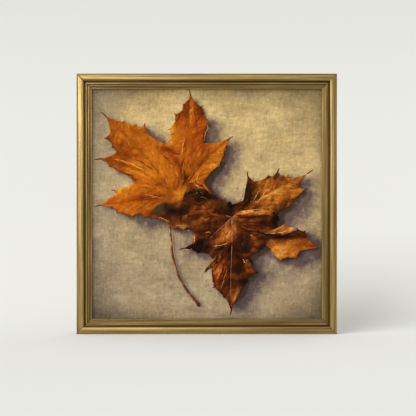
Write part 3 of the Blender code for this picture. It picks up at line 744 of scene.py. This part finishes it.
def accent_lines(accents, seed):
    """Strokes from (colour, greatest width, points), a little unsteady, as lines and their colours."""
    generator = np.random.default_rng(seed)
    lines, colours = [], []
    swell = np.sin(math.pi * np.linspace(0.06, 0.97, ACCENT_POINTS)) ** 0.6
    mottle = 1 + 0.16 * noise(seed, 2.0)[..., None]
    for colour, width, *points in accents:
        line = curve(points, ACCENT_POINTS)
        line = line + 0.5 * swaying(generator, line.shape)
        unsteady = 1 + 0.25 * swaying(generator, ACCENT_POINTS)
        lines.append((line, width * swell * unsteady))
        colours.append(np.clip(np.array(colour, float) * mottle, 0, 255))
    return lines, colours


def tip_flicks(points, seed):
    """A thin flick of the brush out of each of a leaf's tips and teeth, as (points, widths)."""
    generator = np.random.default_rng(seed)
    made = []
    places, kinds = places_and_kinds(points)
    for number, tip in enumerate(places):
        if kinds[number] == SOFT:
            continue
        way = tip - (places[number - 1] + places[(number + 1) % len(places)]) / 2
        way /= np.hypot(*way)
        aside = np.array((-way[1], way[0])) * generator.normal(0, 1.0)
        back, out, width = (11, 3.5, 2.6) if kinds[number] == TIP else (5, 1.8, 2.0)
        line = curve((tip - back * way, tip + 0.4 * aside, tip + out * way + aside), 7)
        made.append(tapered(line, width, 1.0))
    return made


class Nodes:
    """Short names for making a material's nodes."""

    def __init__(self, name):
        self.material = bpy.data.materials.new(name)
        self.material.use_nodes = True
        self.tree = self.material.node_tree
        self.shader = self.tree.nodes["Principled BSDF"]

    def add(self, kind, **values):
        node = self.tree.nodes.new(kind)
        for key, value in values.items():
            if key in node.inputs:
                node.inputs[key].default_value = value
            else:
                setattr(node, key, value)
        return node

    def link(self, source, target):
        self.tree.links.new(source, target)

    def feed(self, value, socket):
        """Links a node's output to a socket, or sets a plain value there."""
        if isinstance(value, bpy.types.NodeSocket):
            self.link(value, socket)
        elif value is not None:
            socket.default_value = value

    def place(self, scale=(1, 1, 1), attribute=None):
        """Object coordinates, or a vector attribute, scaled."""
        if attribute:
            source = self.add("ShaderNodeAttribute", attribute_name=attribute).outputs["Vector"]
        else:
            source = self.add("ShaderNodeTexCoord").outputs["Object"]
        mapping = self.add("ShaderNodeMapping", Scale=scale)
        self.link(source, mapping.inputs["Vector"])
        return mapping.outputs["Vector"]

    def noise(self, vector, scale, detail=4.0, roughness=0.55):
        node = self.add("ShaderNodeTexNoise", Scale=scale, Detail=detail, Roughness=roughness)
        self.link(vector, node.inputs["Vector"])
        return node.outputs["Fac"]

    def ramp(self, source, stops):
        node = self.add("ShaderNodeValToRGB")
        elements = node.color_ramp.elements
        while len(elements) < len(stops):
            elements.new(0.5)
        for element, (place, colour) in zip(elements, stops):
            element.position = place
            element.color = shader_colour(colour)
        self.link(source, node.inputs["Fac"])
        return node.outputs["Color"]

    def range(self, source, low, high, start=0.3, stop=0.7):
        node = self.add("ShaderNodeMapRange")
        for key, value in (("From Min", start), ("From Max", stop), ("To Min", low), ("To Max", high)):
            node.inputs[key].default_value = value
        self.link(source, node.inputs["Value"])
        return node.outputs["Result"]

    def mix(self, first, second, factor, mode="MIX"):
        node = self.add("ShaderNodeMix", data_type="RGBA", blend_type=mode)
        for value, socket in ((factor, 0), (first, 6), (second, 7)):
            self.feed(value, node.inputs[socket])
        return node.outputs[2]

    def math(self, operation, first, second):
        node = self.add("ShaderNodeMath", operation=operation)
        for value, socket in zip((first, second), node.inputs):
            self.feed(value, socket)
        return node.outputs["Value"]

    def bump(self, height, strength, distance, after=None):
        node = self.add("ShaderNodeBump", Strength=strength, Distance=distance)
        self.link(height, node.inputs["Height"])
        if after:
            self.link(after, node.inputs["Normal"])
        return node.outputs["Normal"]

    def finish(self, colour=None, roughness=None, normal=None, metallic=None):
        values = {"Base Color": colour, "Roughness": roughness, "Normal": normal, "Metallic": metallic}
        for key, value in values.items():
            self.feed(value, self.shader.inputs[key])
        return self.material


def weave(nodes, pitch):
    """Height of a plain weave in the picture's plane, from two sets of threads."""
    threads = []
    for direction in ("X", "Z"):
        wave = nodes.add("ShaderNodeTexWave", Scale=0.5 / (math.pi * pitch), Distortion=1.2, Detail=1.0)
        wave.bands_direction = direction
        wave.inputs["Detail Scale"].default_value = 2.0
        nodes.link(nodes.place(), wave.inputs["Vector"])
        threads.append(wave.outputs["Fac"])
    return nodes.math("ADD", *threads)


def paint_material(name, weave_depth):
    """Oil paint in the colours of the mesh's paint attribute, with finer brush marks and the weave."""
    nodes = Nodes(name)
    paint = nodes.add("ShaderNodeAttribute", attribute_name="paint").outputs["Color"]
    fine = nodes.noise(nodes.place(), 900, 5, 0.65)
    lighter = nodes.range(fine, 0.80, 1.20)
    streaks = nodes.noise(nodes.place((1.0, 1.0, 7.0)), 130, 4, 0.6)
    lighter = nodes.math("MULTIPLY", lighter, nodes.range(streaks, 0.93, 1.07))
    grey = nodes.add("ShaderNodeCombineColor")
    for socket in grey.inputs:
        nodes.link(lighter, socket)
    colour = nodes.mix(paint, grey.outputs["Color"], 1.0, "MULTIPLY")
    rough = nodes.range(nodes.noise(nodes.place(), 60), 0.55, 0.72)
    nodes.shader.inputs["Specular IOR Level"].default_value = 0.02
    normal = nodes.bump(weave(nodes, 1.3 * MM), 0.5, weave_depth)
    normal = nodes.bump(nodes.noise(nodes.place((1, 1, 4)), 220, 5), 0.35, 0.25 * MM, normal)
    return nodes.finish(colour, rough, normal)


def gilt_material():
    """Worn metal leaf: fine streaks along the rail, dark in the hollows from toning and painted shade, rubbed
    on the high edges.
    """
    nodes = Nodes("gilt")
    streak = nodes.noise(nodes.place((0.012, 1.6, 0.4), "grain"), 1.0, 6, 0.65)
    base = nodes.ramp(streak, ((0.30, (113, 90, 42)), (0.5, (150, 124, 68)), (0.70, (184, 157, 98))))
    broad = nodes.noise(nodes.place((0.005, 0.34, 0.2), "grain"), 1.0, 3, 0.5)
    base = nodes.mix(base, shader_colour((84, 58, 22)), nodes.range(broad, 0.85, 0.0, 0.34, 0.60))
    blot = nodes.noise(nodes.place((0.05, 0.12, 0.1), "grain"), 1.0, 5, 0.6)
    base = nodes.mix(base, shader_colour((130, 102, 48)), nodes.range(blot, 0.0, 0.45, 0.45, 0.75))
    # painted shade, with some toning, darkens the gilt in the groove, under the beads, on the outer side and
    # at the mitres
    hollow_tone_and_shade = nodes.add("ShaderNodeAttribute", attribute_name="hollow_tone_and_shade").outputs["Fac"]
    colour = nodes.mix(base, shader_colour((70, 52, 18)), hollow_tone_and_shade)
    speck = nodes.noise(nodes.place((0.5, 0.9, 0.5), "grain"), 1.0, 3, 0.5)
    colour = nodes.mix(colour, shader_colour((70, 44, 20)), nodes.range(speck, 0.0, 0.75, 0.70, 0.76))
    rough = nodes.range(streak, 0.27, 0.37)
    normal = nodes.bump(streak, 0.35, 0.12 * MM, nodes.bump(broad, 0.8, 0.6 * MM))
    return nodes.finish(colour, rough, normal, 0.7)


def wood_material(name, along, light, dark, scale=1.0, attribute=None):
    """Planed softwood with its grain along one axis, of the object or of an attribute in mm."""
    nodes = Nodes(name)
    scale *= MM if attribute else 1
    stretch = [60.0, 60.0, 60.0]
    stretch["XYZ".index(along)] = 3.0
    grain = nodes.noise(nodes.place([s * scale for s in stretch], attribute), 2.2, 6, 0.6)
    rings = nodes.noise(nodes.place([s * 0.22 * scale for s in stretch], attribute), 2.0, 3, 0.5)
    fine = nodes.noise(nodes.place([s * 5 * scale for s in stretch], attribute), 2.0, 4, 0.6)
    colour = nodes.ramp(grain, ((0.32, dark), (0.5, light), (0.72, tuple(min(255, c + 14) for c in light))))
    colour = nodes.mix(colour, shader_colour(dark), nodes.range(rings, 0.0, 0.5, 0.45, 0.68))
    return nodes.finish(colour, nodes.range(fine, 0.58, 0.78), nodes.bump(fine, 0.3, 0.15 * MM))


def metal_material(name, colour, roughness):
    """Plated steel with faint blotches and fine scratches."""
    nodes = Nodes(name)
    blot = nodes.noise(nodes.place(), 260, 4)
    tint = nodes.ramp(blot, ((0.3, tuple(c * 0.82 for c in colour)), (0.65, colour)))
    lines = nodes.noise(nodes.place((1, 1, 14)), 420, 3)
    rough = nodes.range(lines, roughness, roughness + 0.10)
    return nodes.finish(tint, rough, nodes.bump(lines, 0.15, 0.05 * MM), 1.0)


def cloth_material():
    """Raw cotton canvas as it shows on the back."""
    nodes = Nodes("raw_canvas")
    fabric = weave(nodes, 0.9 * MM)
    slub = nodes.noise(nodes.place(), 500, 4)
    colour = nodes.ramp(slub, ((0.3, (188, 174, 146)), (0.7, (216, 205, 180))))
    return nodes.finish(colour, 0.88, nodes.bump(fabric, 0.6, 0.25 * MM))


def rubber_material():
    """Black rubber, dull and a little dusty."""
    nodes = Nodes("rubber")
    dust = nodes.noise(nodes.place(), 700, 4)
    colour = nodes.ramp(dust, ((0.35, (26, 26, 27)), (0.7, (44, 44, 45))))
    return nodes.finish(colour, nodes.range(dust, 0.62, 0.8), nodes.bump(dust, 0.2, 0.08 * MM))


# ---------------------------------------------------------------- the picture


GROUND_LIFT = 0.06 * MM
LIFTS = {"stem": 0.20 * MM, "fold": 0.24 * MM, "upper": 0.34 * MM, "lower": 0.50 * MM, "side": 0.62 * MM,
         "curl": 0.78 * MM}


def ground_piece(colour, grain, material):
    """The ground's paint over the whole front of the canvas, in low relief, its edges down on the cloth."""
    margin, count = 0.3, 312
    half = CANVAS_SIDE / MM / 2 - margin
    axis = np.linspace(-half, half, count)
    xs, zs = np.meshgrid(axis, axis)
    points = np.column_stack([xs.ravel(), zs.ravel()])
    lift = GROUND_LIFT + MM * np.clip(0.9 * sample(grain, points), -0.05, 0.09)
    on_edge = (np.abs(points) > half - 0.01).any(1)
    lift[on_edge] = 0.01 * MM
    verts = in_place(points, CANVAS_Y - lift)
    faces = []
    for row in range(count - 1):
        for start in range(row * count, row * count + count - 1):
            faces.append((start, start + 1, start + count + 1, start + count))
    obj = finished("painted_ground", verts, faces, [material])
    set_colours(obj, linear(sample(colour, points)))
    return obj


def leaf_pieces(regions, upper, lower, oil):
    """The leaves and their curled edges, as patches of paint; upper and lower are colours and heights."""
    folded = paint_folded_lobe(regions["fold"])
    pieces = []
    for name, key, (colour, height) in (("folded_lobe", "fold", folded), ("upper_leaf", "upper", upper),
                                        ("lower_leaf", "lower", lower), ("side_lobe", "side", lower)):
        pieces.append(paint_patch("painted_" + name, regions[key], colour, height, LIFTS[key], oil))
    curls = (("curl", 221, GOLDEN, 0.08), ("tooth", 231, GOLDEN, -0.42), ("edge", 241, GOLDEN, -0.34),
             ("rim", 251, ORANGE, -0.12))
    for key, seed, stops, level in curls:
        colour, height = paint_piece(regions[key], seed, stops, level, 0.6)
        if key == "curl":
            colour = blend(colour, lower[0], 1 - smooth(108, 140, X))
        name = "painted_curl_" + key
        pieces.append(paint_patch(name, regions[key], colour, height, LIFTS["curl"], oil, step=1.2))
    return pieces


def stem_piece(stem, oil):
    """The stem, which swells to its end, in the shade along one side and dark at the end."""
    widths = np.interp(np.linspace(0, 1, len(stem)), (0, 0.1, 0.75, 0.93, 1.0), (3.2, 4.4, 5.2, 7.6, 4.4))
    tone = 0.05 + 0.16 * noise(301, 5) + 0.10 * noise(302, 1.5)
    shade = gaussian(1.0 * (distance([stem + (1.2, 0.4)], 6) < 1.3), 0.7, 0.7)
    tone = tone - 0.7 * shade - 1.1 * spot(-15, -198, 10)
    colour = ramp(tone, ((-0.6, (70, 36, 18)), (0.0, (150, 98, 54)), (0.4, (204, 160, 112))))
    return strokes("painted_stem", [(stem, widths)], [colour], LIFTS["stem"], oil, 7)


def line_pieces(upper, lower, oil):
    """The veins, the single strokes and the flicks at the leaves' tips, as thin raised strokes."""
    pieces = []
    pale = ramp(0.2 * noise(311, 3), ((-0.5, (120, 62, 32)), (0.0, (176, 106, 66)), (0.5, (216, 152, 106))))
    warm = ramp(0.4 * noise(312, 3), ((-0.5, (120, 50, 12)), (0.0, (178, 92, 20)), (0.5, (206, 130, 50))))
    lower_lines = [tapered(curve(vein, 60)[:int(60 * reach)], 2.0, 0.5)
                   for vein, reach in zip(LOWER_VEINS, LOWER_REACH)]
    upper_lines = [tapered(curve(vein, 60)[6:50], 1.0, 0.4) for vein in UPPER_VEINS]
    for key, lines, colour in (("lower", lower_lines, pale), ("upper", upper_lines, warm)):
        lift = LIFTS[key] + 0.1 * MM
        pieces.append(strokes(f"painted_{key}_veins", lines, [colour] * len(lines), lift, oil))
    for key, accents, layer in (("upper", UPPER_STROKES, "upper"), ("lower", LOWER_STROKES, "curl")):
        lines, colours = accent_lines(accents, 340)
        pieces.append(strokes(f"painted_{key}_accents", lines, colours, LIFTS[layer] + 0.05 * MM, oil))
    tips = (("upper", UPPER_LEAF, upper[0]), ("lower", LOWER_LEAF, lower[0]), ("side", SIDE_LOBE, lower[0]))
    for number, (key, points, colour) in enumerate(tips):
        lines = tip_flicks(points, 320 + number)
        lift = LIFTS[key] - 0.04 * MM
        pieces.append(strokes(f"painted_{key}_tips", lines, [0.70 * colour] * len(lines), lift, oil))
    return pieces


def paint_picture():
    """The whole painting from the ground up, as pieces."""
    drawn = {
        "upper": outline(UPPER_LEAF, 1), "lower": outline(LOWER_LEAF, 2), "fold": outline(FOLDED_LOBE, 3),
        "side": outline(SIDE_LOBE, 4), "curl": outline(CURLED_LOBE, 5, teeth=0.6),
        "tooth": outline(CURLED_TOOTH, 6, teeth=0.2), "edge": outline(CURLED_EDGE, 7, teeth=0.2),
        "rim": outline(ROLLED_RIM, 8, teeth=0.0),
    }
    regions = {name: {"line": line, "closed": np.vstack([line, line[:1]]), "mask": mask(line)}
               for name, line in drawn.items()}
    stem = curve(STEM, 60)
    leaves = np.clip(sum(regions[name]["mask"] for name in ("upper", "lower", "fold", "side")), 0, 1)
    ground, grain = paint_ground(leaves, (distance([stem], 6) < 2.0).astype(float))
    russet = dict(regions["lower"], mask=np.maximum(regions["lower"]["mask"], regions["side"]["mask"]))
    upper = paint_upper_leaf(regions["upper"])
    lower = paint_lower_leaf(russet)
    oil = paint_material("leaf_paint", 0.05 * MM)
    pieces = [ground_piece(ground, grain, paint_material("ground_paint", 0.22 * MM))]
    pieces += leaf_pieces(regions, upper, lower, oil)
    pieces.append(stem_piece(stem, oil))
    return pieces + line_pieces(upper, lower, oil)


# ---------------------------------------------------------------- the moulding


def rail_section():
    """The moulding's section as (in from the outer edge, up from the back, darkness) rows, in mm; the
    darkness is toning and painted shade.
    """
    width, depth = RAIL_WIDTH / MM, (BACK_Y - FRONT_Y) / MM
    band_edge, rebate, rebate_depth = 27.0, 5.1, 18.4
    # the third number of each row darkens the gilt there: some toning, and painted shade in the hollows,
    # under the beads and on the outer side
    rows = [(0, 0, 0.2), (0, 8, 0.2), (0, 16, 0.2), (0, 22, 0.25), (0, 24.6, 0.35), (0.15, 25.9, 0.3)]
    for share in np.linspace(0, 1, 19):
        crown = band_edge + (depth - band_edge) * math.sin(math.pi * share) ** 0.3
        rows.append((0.8 + 13.2 * share, crown, 0.15 * (share < 0.03 or share > 0.97)))
    rows += [(14.35, 26.6, 0.55), (14.6, 25.4, 0.85), (14.7, 23.9, 1.0), (15.2, 23.4, 1.0), (16.4, 23.3, 1.0),
             (17.3, 23.4, 1.0), (17.75, 24.2, 0.9)]
    for angle in np.linspace(190, 0, 13):
        turn = math.radians(angle)
        rows.append((19.4 + 1.6 * math.cos(turn), 25.2 + 1.6 * math.sin(turn), 0.6 * (angle > 150)))
    rows += [(21.2, 24.6, 0.65), (21.7, 24.0, 0.5), (22.6, 23.6, 0.12), (23.2, 23.45, 0.10)]
    for angle in np.linspace(150, 20, 5):
        turn = math.radians(angle)
        rows.append((23.8 + 0.5 * math.cos(turn), 23.3 + 0.5 * math.sin(turn), 0.05))
    rows += [(24.5, 23.2, 0.2), (25.4, 22.7, 0.25), (26.3, 22.25, 0.6), (26.7, 22.2, 0.7)]
    for angle in np.linspace(140, 0, 11):
        turn = math.radians(angle)
        rows.append((28.1 + 1.5 * math.cos(turn), 21.6 + 1.5 * math.sin(turn), 0.4 * (angle > 125)))
    rows += [(width, 20.4, 0.4), (width, rebate_depth, 0.6)]
    rows += [(width - rebate, rebate_depth, 0), (width - rebate, 9, 0), (width - rebate, 0, 0), (12, 0, 0)]
    return np.array(rows)


BARE_ROWS = 5  # rows of the section, at its end, that are bare wood
MITRE_GAP, MITRE_DEPTH = 0.03, 0.33  # of the fine groove where two rails meet, in mm


def rail_piece(turn, side, gilt, wood):
    """One mitred rail in fine mesh, with a faint hand-worked unevenness."""
    rows = rail_section()
    half = OUTER / MM / 2
    stations = np.concatenate([[-1, -0.998], np.linspace(-0.992, 0.992, 147), [0.998, 1]])
    generator = np.random.default_rng(400 + turn)
    waves = []
    for _ in range(9):
        waves.append((generator.uniform(0.01, 0.09), generator.uniform(0, 6.3), generator.uniform(0.2, 1)))
    verts, grain, hollow_tone_and_shade = [], [], []
    for share in stations:
        seam = abs(share) > 0.999
        for across, up, dark in rows:
            along = share * (half - across - MITRE_GAP)
            uneven = sum(size * math.sin(rate * along + start + 0.15 * across) for rate, start, size in waves)
            raised = up - 0.02
            if up > 22.5:
                raised += 0.018 * uneven
            if seam and up > 18.5:
                raised -= MITRE_DEPTH
            # the mitre joint is painted dark: a dark joint line with painted shade in its fine groove
            dark = max(dark, 0.8) if seam else dark
            verts.append((along * MM, -raised * MM, (across - half) * MM))
            grain.append((along + 700 * turn, across, up))
            hollow_tone_and_shade.append(dark)
    count = len(rows)
    faces, slots = [], []
    for station in range(len(stations) - 1):
        for number in range(count):
            a, b = station * count + number, station * count + (number + 1) % count
            faces.append((a, b, b + count, a + count))
            slots.append(1 if number >= count - BARE_ROWS else 0)
    faces += [tuple(range(count)), tuple(reversed(range(len(verts) - count, len(verts))))]
    slots += [1, 1]
    obj = finished(f"gilt_rail_{side}", verts, faces, [gilt, wood])
    obj.data.polygons.foreach_set("material_index", slots)
    face_out(obj)
    layers = (("grain", "FLOAT_VECTOR", "vector", grain), ("hollow_tone_and_shade", "FLOAT", "value", hollow_tone_and_shade))
    for name, kind, key, values in layers:
        layer = obj.data.attributes.new(name, kind, "POINT")
        layer.data.foreach_set(key, np.array(values, float).ravel())
    obj.data.set_sharp_from_angle(angle=math.radians(50))
    place = Matrix.Translation((CENTRE.x, BACK_Y, CENTRE.z))
    obj.data.transform(place @ Matrix.Rotation(math.radians(90 * turn), 4, "Y"))
    return obj


# ---------------------------------------------------------------- the back


def canvas_cloth(cloth):
    """The cloth: stretched flat in front, round the bars' edges, and turned over onto their backs."""
    under_paint = 0.1 * MM  # room for the paint in front
    bm = bmesh.new()
    bmesh.ops.create_cube(bm, size=1)
    size = CANVAS_HIGH - CANVAS_LOW
    bmesh.ops.scale(bm, verts=bm.verts, vec=(size.x, size.y - under_paint, size.z))
    back = [face for face in bm.faces if face.normal.y > 0.5]
    bmesh.ops.inset_region(bm, faces=back, thickness=TURN_OVER)
    bmesh.ops.delete(bm, geom=back, context="FACES_ONLY")
    middle = (CANVAS_LOW + CANVAS_HIGH) / 2 + Vector((0, under_paint / 2, 0))
    bmesh.ops.translate(bm, verts=bm.verts, vec=middle)
    outer = [e for e in bm.edges if len(e.link_faces) == 2
             and e.link_faces[0].normal.angle(e.link_faces[1].normal) > 1.0]
    bmesh.ops.bevel(bm, geom=outer, offset=0.9 * MM, segments=3, affect="EDGES", profile=0.5)
    mesh = bpy.data.meshes.new("canvas_cloth")
    bm.to_mesh(mesh)
    bm.free()
    mesh.materials.append(cloth)
    mesh.shade_smooth()
    mesh.set_sharp_from_angle(angle=math.radians(40))
    obj = linked("canvas_cloth", mesh)
    solid = obj.modifiers.new("thickness", "SOLIDIFY")
    solid.thickness, solid.offset = 0.5 * MM, -1
    return obj


BOX_FACES = ((0, 1, 3, 2), (4, 6, 7, 5), (0, 4, 5, 1), (2, 3, 7, 6), (0, 2, 6, 4), (1, 5, 7, 3))
STAPLE_HALF = Vector((5.0, 0.3, 0.35)) * MM
STAPLE_INSET = 12 * MM  # from the canvas's edge to the staples' row
STAPLES_A_SIDE = 11
CLIP_PLACE, CLIP_ROOM = 155 * MM, 12 * MM  # no staple goes where a clip lies


def staples(metal):
    """Staples across the turned-over cloth, all round: one piece of thin bars."""
    generator = np.random.default_rng(500)
    half_side = CANVAS_SIDE / 2 - STAPLE_INSET
    y = CANVAS_HIGH.y + 0.30 * MM
    box = [Vector((x, y, z)) * STAPLE_HALF for x in (-1, 1) for y in (-1, 1) for z in (-1, 1)]
    verts, faces = [], []
    for turn in range(4):
        spin = Matrix.Rotation(math.radians(90 * turn), 3, "Y")
        for along in np.linspace(-1, 1, STAPLES_A_SIDE) * (half_side - 16 * MM):
            if abs(abs(along) - CLIP_PLACE) < CLIP_ROOM:
                continue
            slant = Matrix.Rotation(-generator.normal(0, 0.12), 3, "Y")
            across, down = along + generator.normal(0, 2) * MM, generator.normal(0, 1) * MM - half_side
            middle = Vector((across, 0, down))
            faces += [tuple(len(verts) + i for i in face) for face in BOX_FACES]
            for corner in box:
                placed = spin @ (middle + slant @ corner)
                verts.append((placed.x + CENTRE.x, y + placed.y, placed.z + CENTRE.z))
    obj = finished("staples", verts, faces, [metal], smooth_faces=False)
    bevel = obj.modifiers.new("round", "BEVEL")
    bevel.width, bevel.segments = 0.12 * MM, 2
    return obj


def dress_nodes():
    """Better materials, and softer edges, on the CAD pieces that stay."""
    nickel = metal_material("nickel", (160, 157, 147), 0.26)
    zinc = metal_material("zinc", (142, 146, 150), 0.34)
    rubber = rubber_material()
    pine, beech = {}, {}
    for along, way in (("X", "across"), ("Z", "upright")):
        pine[along] = wood_material("pine_" + way, along, (214, 178, 124), (176, 132, 78))
        beech[along] = wood_material("beech_" + way, along, (196, 150, 104), (160, 112, 70), 1.6)
    for name, node in NODES.items():
        along = "Z" if "left" in name or "right" in name else "X"
        if name.startswith("bar_key"):
            material, round_off = beech[along], 0.25 * MM
        elif name.startswith("bar_"):
            material, round_off = pine[along], 0.35 * MM
        elif name.startswith("bumper"):
            material, round_off = rubber, 0
        elif name.startswith("v_nail") or "screw" in name:
            material, round_off = zinc, 0
        elif name.startswith(("clip", "hanger")):
            material, round_off = nickel, 0.15 * MM if "ring" not in name else 0
        else:
            continue
        node.data.materials.clear()
        node.data.materials.append(material)
        if round_off:
            bevel = node.modifiers.new("round", "BEVEL")
            bevel.width, bevel.segments = round_off, 2
            bevel.limit_method = "ANGLE"
            bevel.angle_limit = math.radians(40)


# ---------------------------------------------------------------- stage, light and camera


PAPER = (217, 217, 214)
PAPER_ABOVE = (212, 212, 209)
SKY = (250, 250, 248)
SKY_STRENGTH = 0.82


def pale_material():
    """Pale matt paper, a shade deeper up its bend, where it faces the lamps more squarely.

    It is clear when seen from behind, so it never hides the picture.
    """
    nodes = Nodes("pale_paper")
    height = nodes.add("ShaderNodeSeparateXYZ")
    nodes.link(nodes.place(), height.inputs["Vector"])
    bend = nodes.range(height.outputs["Z"], 0.0, 1.0, CAD_LOW.z, CAD_LOW.z + 0.25)
    nodes.finish(nodes.mix(shader_colour(PAPER), shader_colour(PAPER_ABOVE), bend), 1.0)
    nodes.shader.inputs["Specular IOR Level"].default_value = 0
    behind = nodes.add("ShaderNodeNewGeometry").outputs["Backfacing"]
    clear = nodes.add("ShaderNodeBsdfTransparent").outputs["BSDF"]
    either = nodes.add("ShaderNodeMixShader")
    nodes.link(behind, either.inputs[0])
    nodes.link(nodes.shader.outputs["BSDF"], either.inputs[1])
    nodes.link(clear, either.inputs[2])
    nodes.link(either.outputs["Shader"], nodes.tree.nodes["Material Output"].inputs["Surface"])
    return nodes.material


def add_stage():
    """A pale floor that the picture stands on, sweeping up behind it in one long bend."""
    floor_z, bend, wide = CAD_LOW.z - 0.2 * MM, 1.0, 5.0
    profile = [(-6.0, floor_z), (0.0, floor_z)]
    for turn in np.linspace(0, math.pi / 2, 49)[1:]:
        profile.append((bend * math.sin(turn), floor_z + bend * (1 - math.cos(turn))))
    profile.append((bend, floor_z + 3.0))
    verts = [(x, y, z) for y, z in profile for x in (-wide, wide)]
    faces = [(2 * i, 2 * i + 1, 2 * i + 3, 2 * i + 2) for i in range(len(profile) - 1)]
    floor = finished("floor", verts, faces, [pale_material()])
    # only the camera sees the paper, so it keeps no light from the picture's back
    floor.visible_diffuse = floor.visible_glossy = floor.visible_shadow = False
    world = bpy.data.worlds.new("studio")
    bpy.context.scene.world = world
    world.use_nodes = True
    background = world.node_tree.nodes["Background"].inputs
    background["Color"].default_value = shader_colour(SKY)
    background["Strength"].default_value = SKY_STRENGTH


def add_lamp(name, kind, way, strength):
    """A lamp that shines one way."""
    lamp = bpy.data.lights.new(name, kind)
    lamp.energy = strength
    obj = linked(name, lamp)
    obj.rotation_euler = Vector(way).to_track_quat("-Z", "Y").to_euler()
    return obj


def add_lights():
    """A soft key from the upper left, a light on the back, and a small lamp seen only in reflections."""
    for name, way, strength, spread in (("key", (0.60, 0.66, -0.76), 1.9, 40),
                                        ("behind", (-0.4, -0.9, 0.0), 0.7, 30)):
        add_lamp(name, "SUN", way, strength).data.angle = math.radians(spread)
    from_centre = Vector((-0.7, -2.7, 0.46))
    sheen = add_lamp("sheen", "AREA", -from_centre, 23)
    sheen.location = CENTRE + from_centre
    sheen.data.shape, sheen.data.size = "DISK", 0.45
    sheen.visible_diffuse = False


def add_camera():
    """A long lens square to the picture; the picture sits a little left of and above the middle."""
    distance, right, below = 2.8, 2.3 * MM, 8.2 * MM
    share = 0.6269  # of the view's width that the frame's front takes up
    camera = bpy.data.cameras.new("camera")
    camera.sensor_width = 36
    camera.lens = camera.sensor_width * share * (distance + FRONT_Y) / OUTER
    obj = linked("camera", camera)
    obj.location = (CENTRE.x + right, -distance, CENTRE.z - below)
    obj.rotation_euler = (math.radians(90), 0, 0)
    bpy.context.scene.camera = obj


def main():
    bpy.context.scene.view_settings.view_transform = "Standard"
    add_camera()
    add_stage()
    add_lights()

    gilt = gilt_material()
    bare = wood_material("moulding_wood", "X", (206, 176, 132), (178, 140, 96), attribute="grain")
    for turn, side in enumerate(SIDES):
        rail = rail_piece(turn, side, gilt, bare)
        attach(rail, "picture")
        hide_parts("rail_" + side)

    pieces = paint_picture()
    for piece in pieces:
        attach(piece, "picture")

    cloth = canvas_cloth(cloth_material())
    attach(cloth, "picture")
    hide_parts("canvas")

    tacks = staples(metal_material("staple_steel", (170, 172, 176), 0.3))
    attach(tacks, "picture")
    dress_nodes()


main()
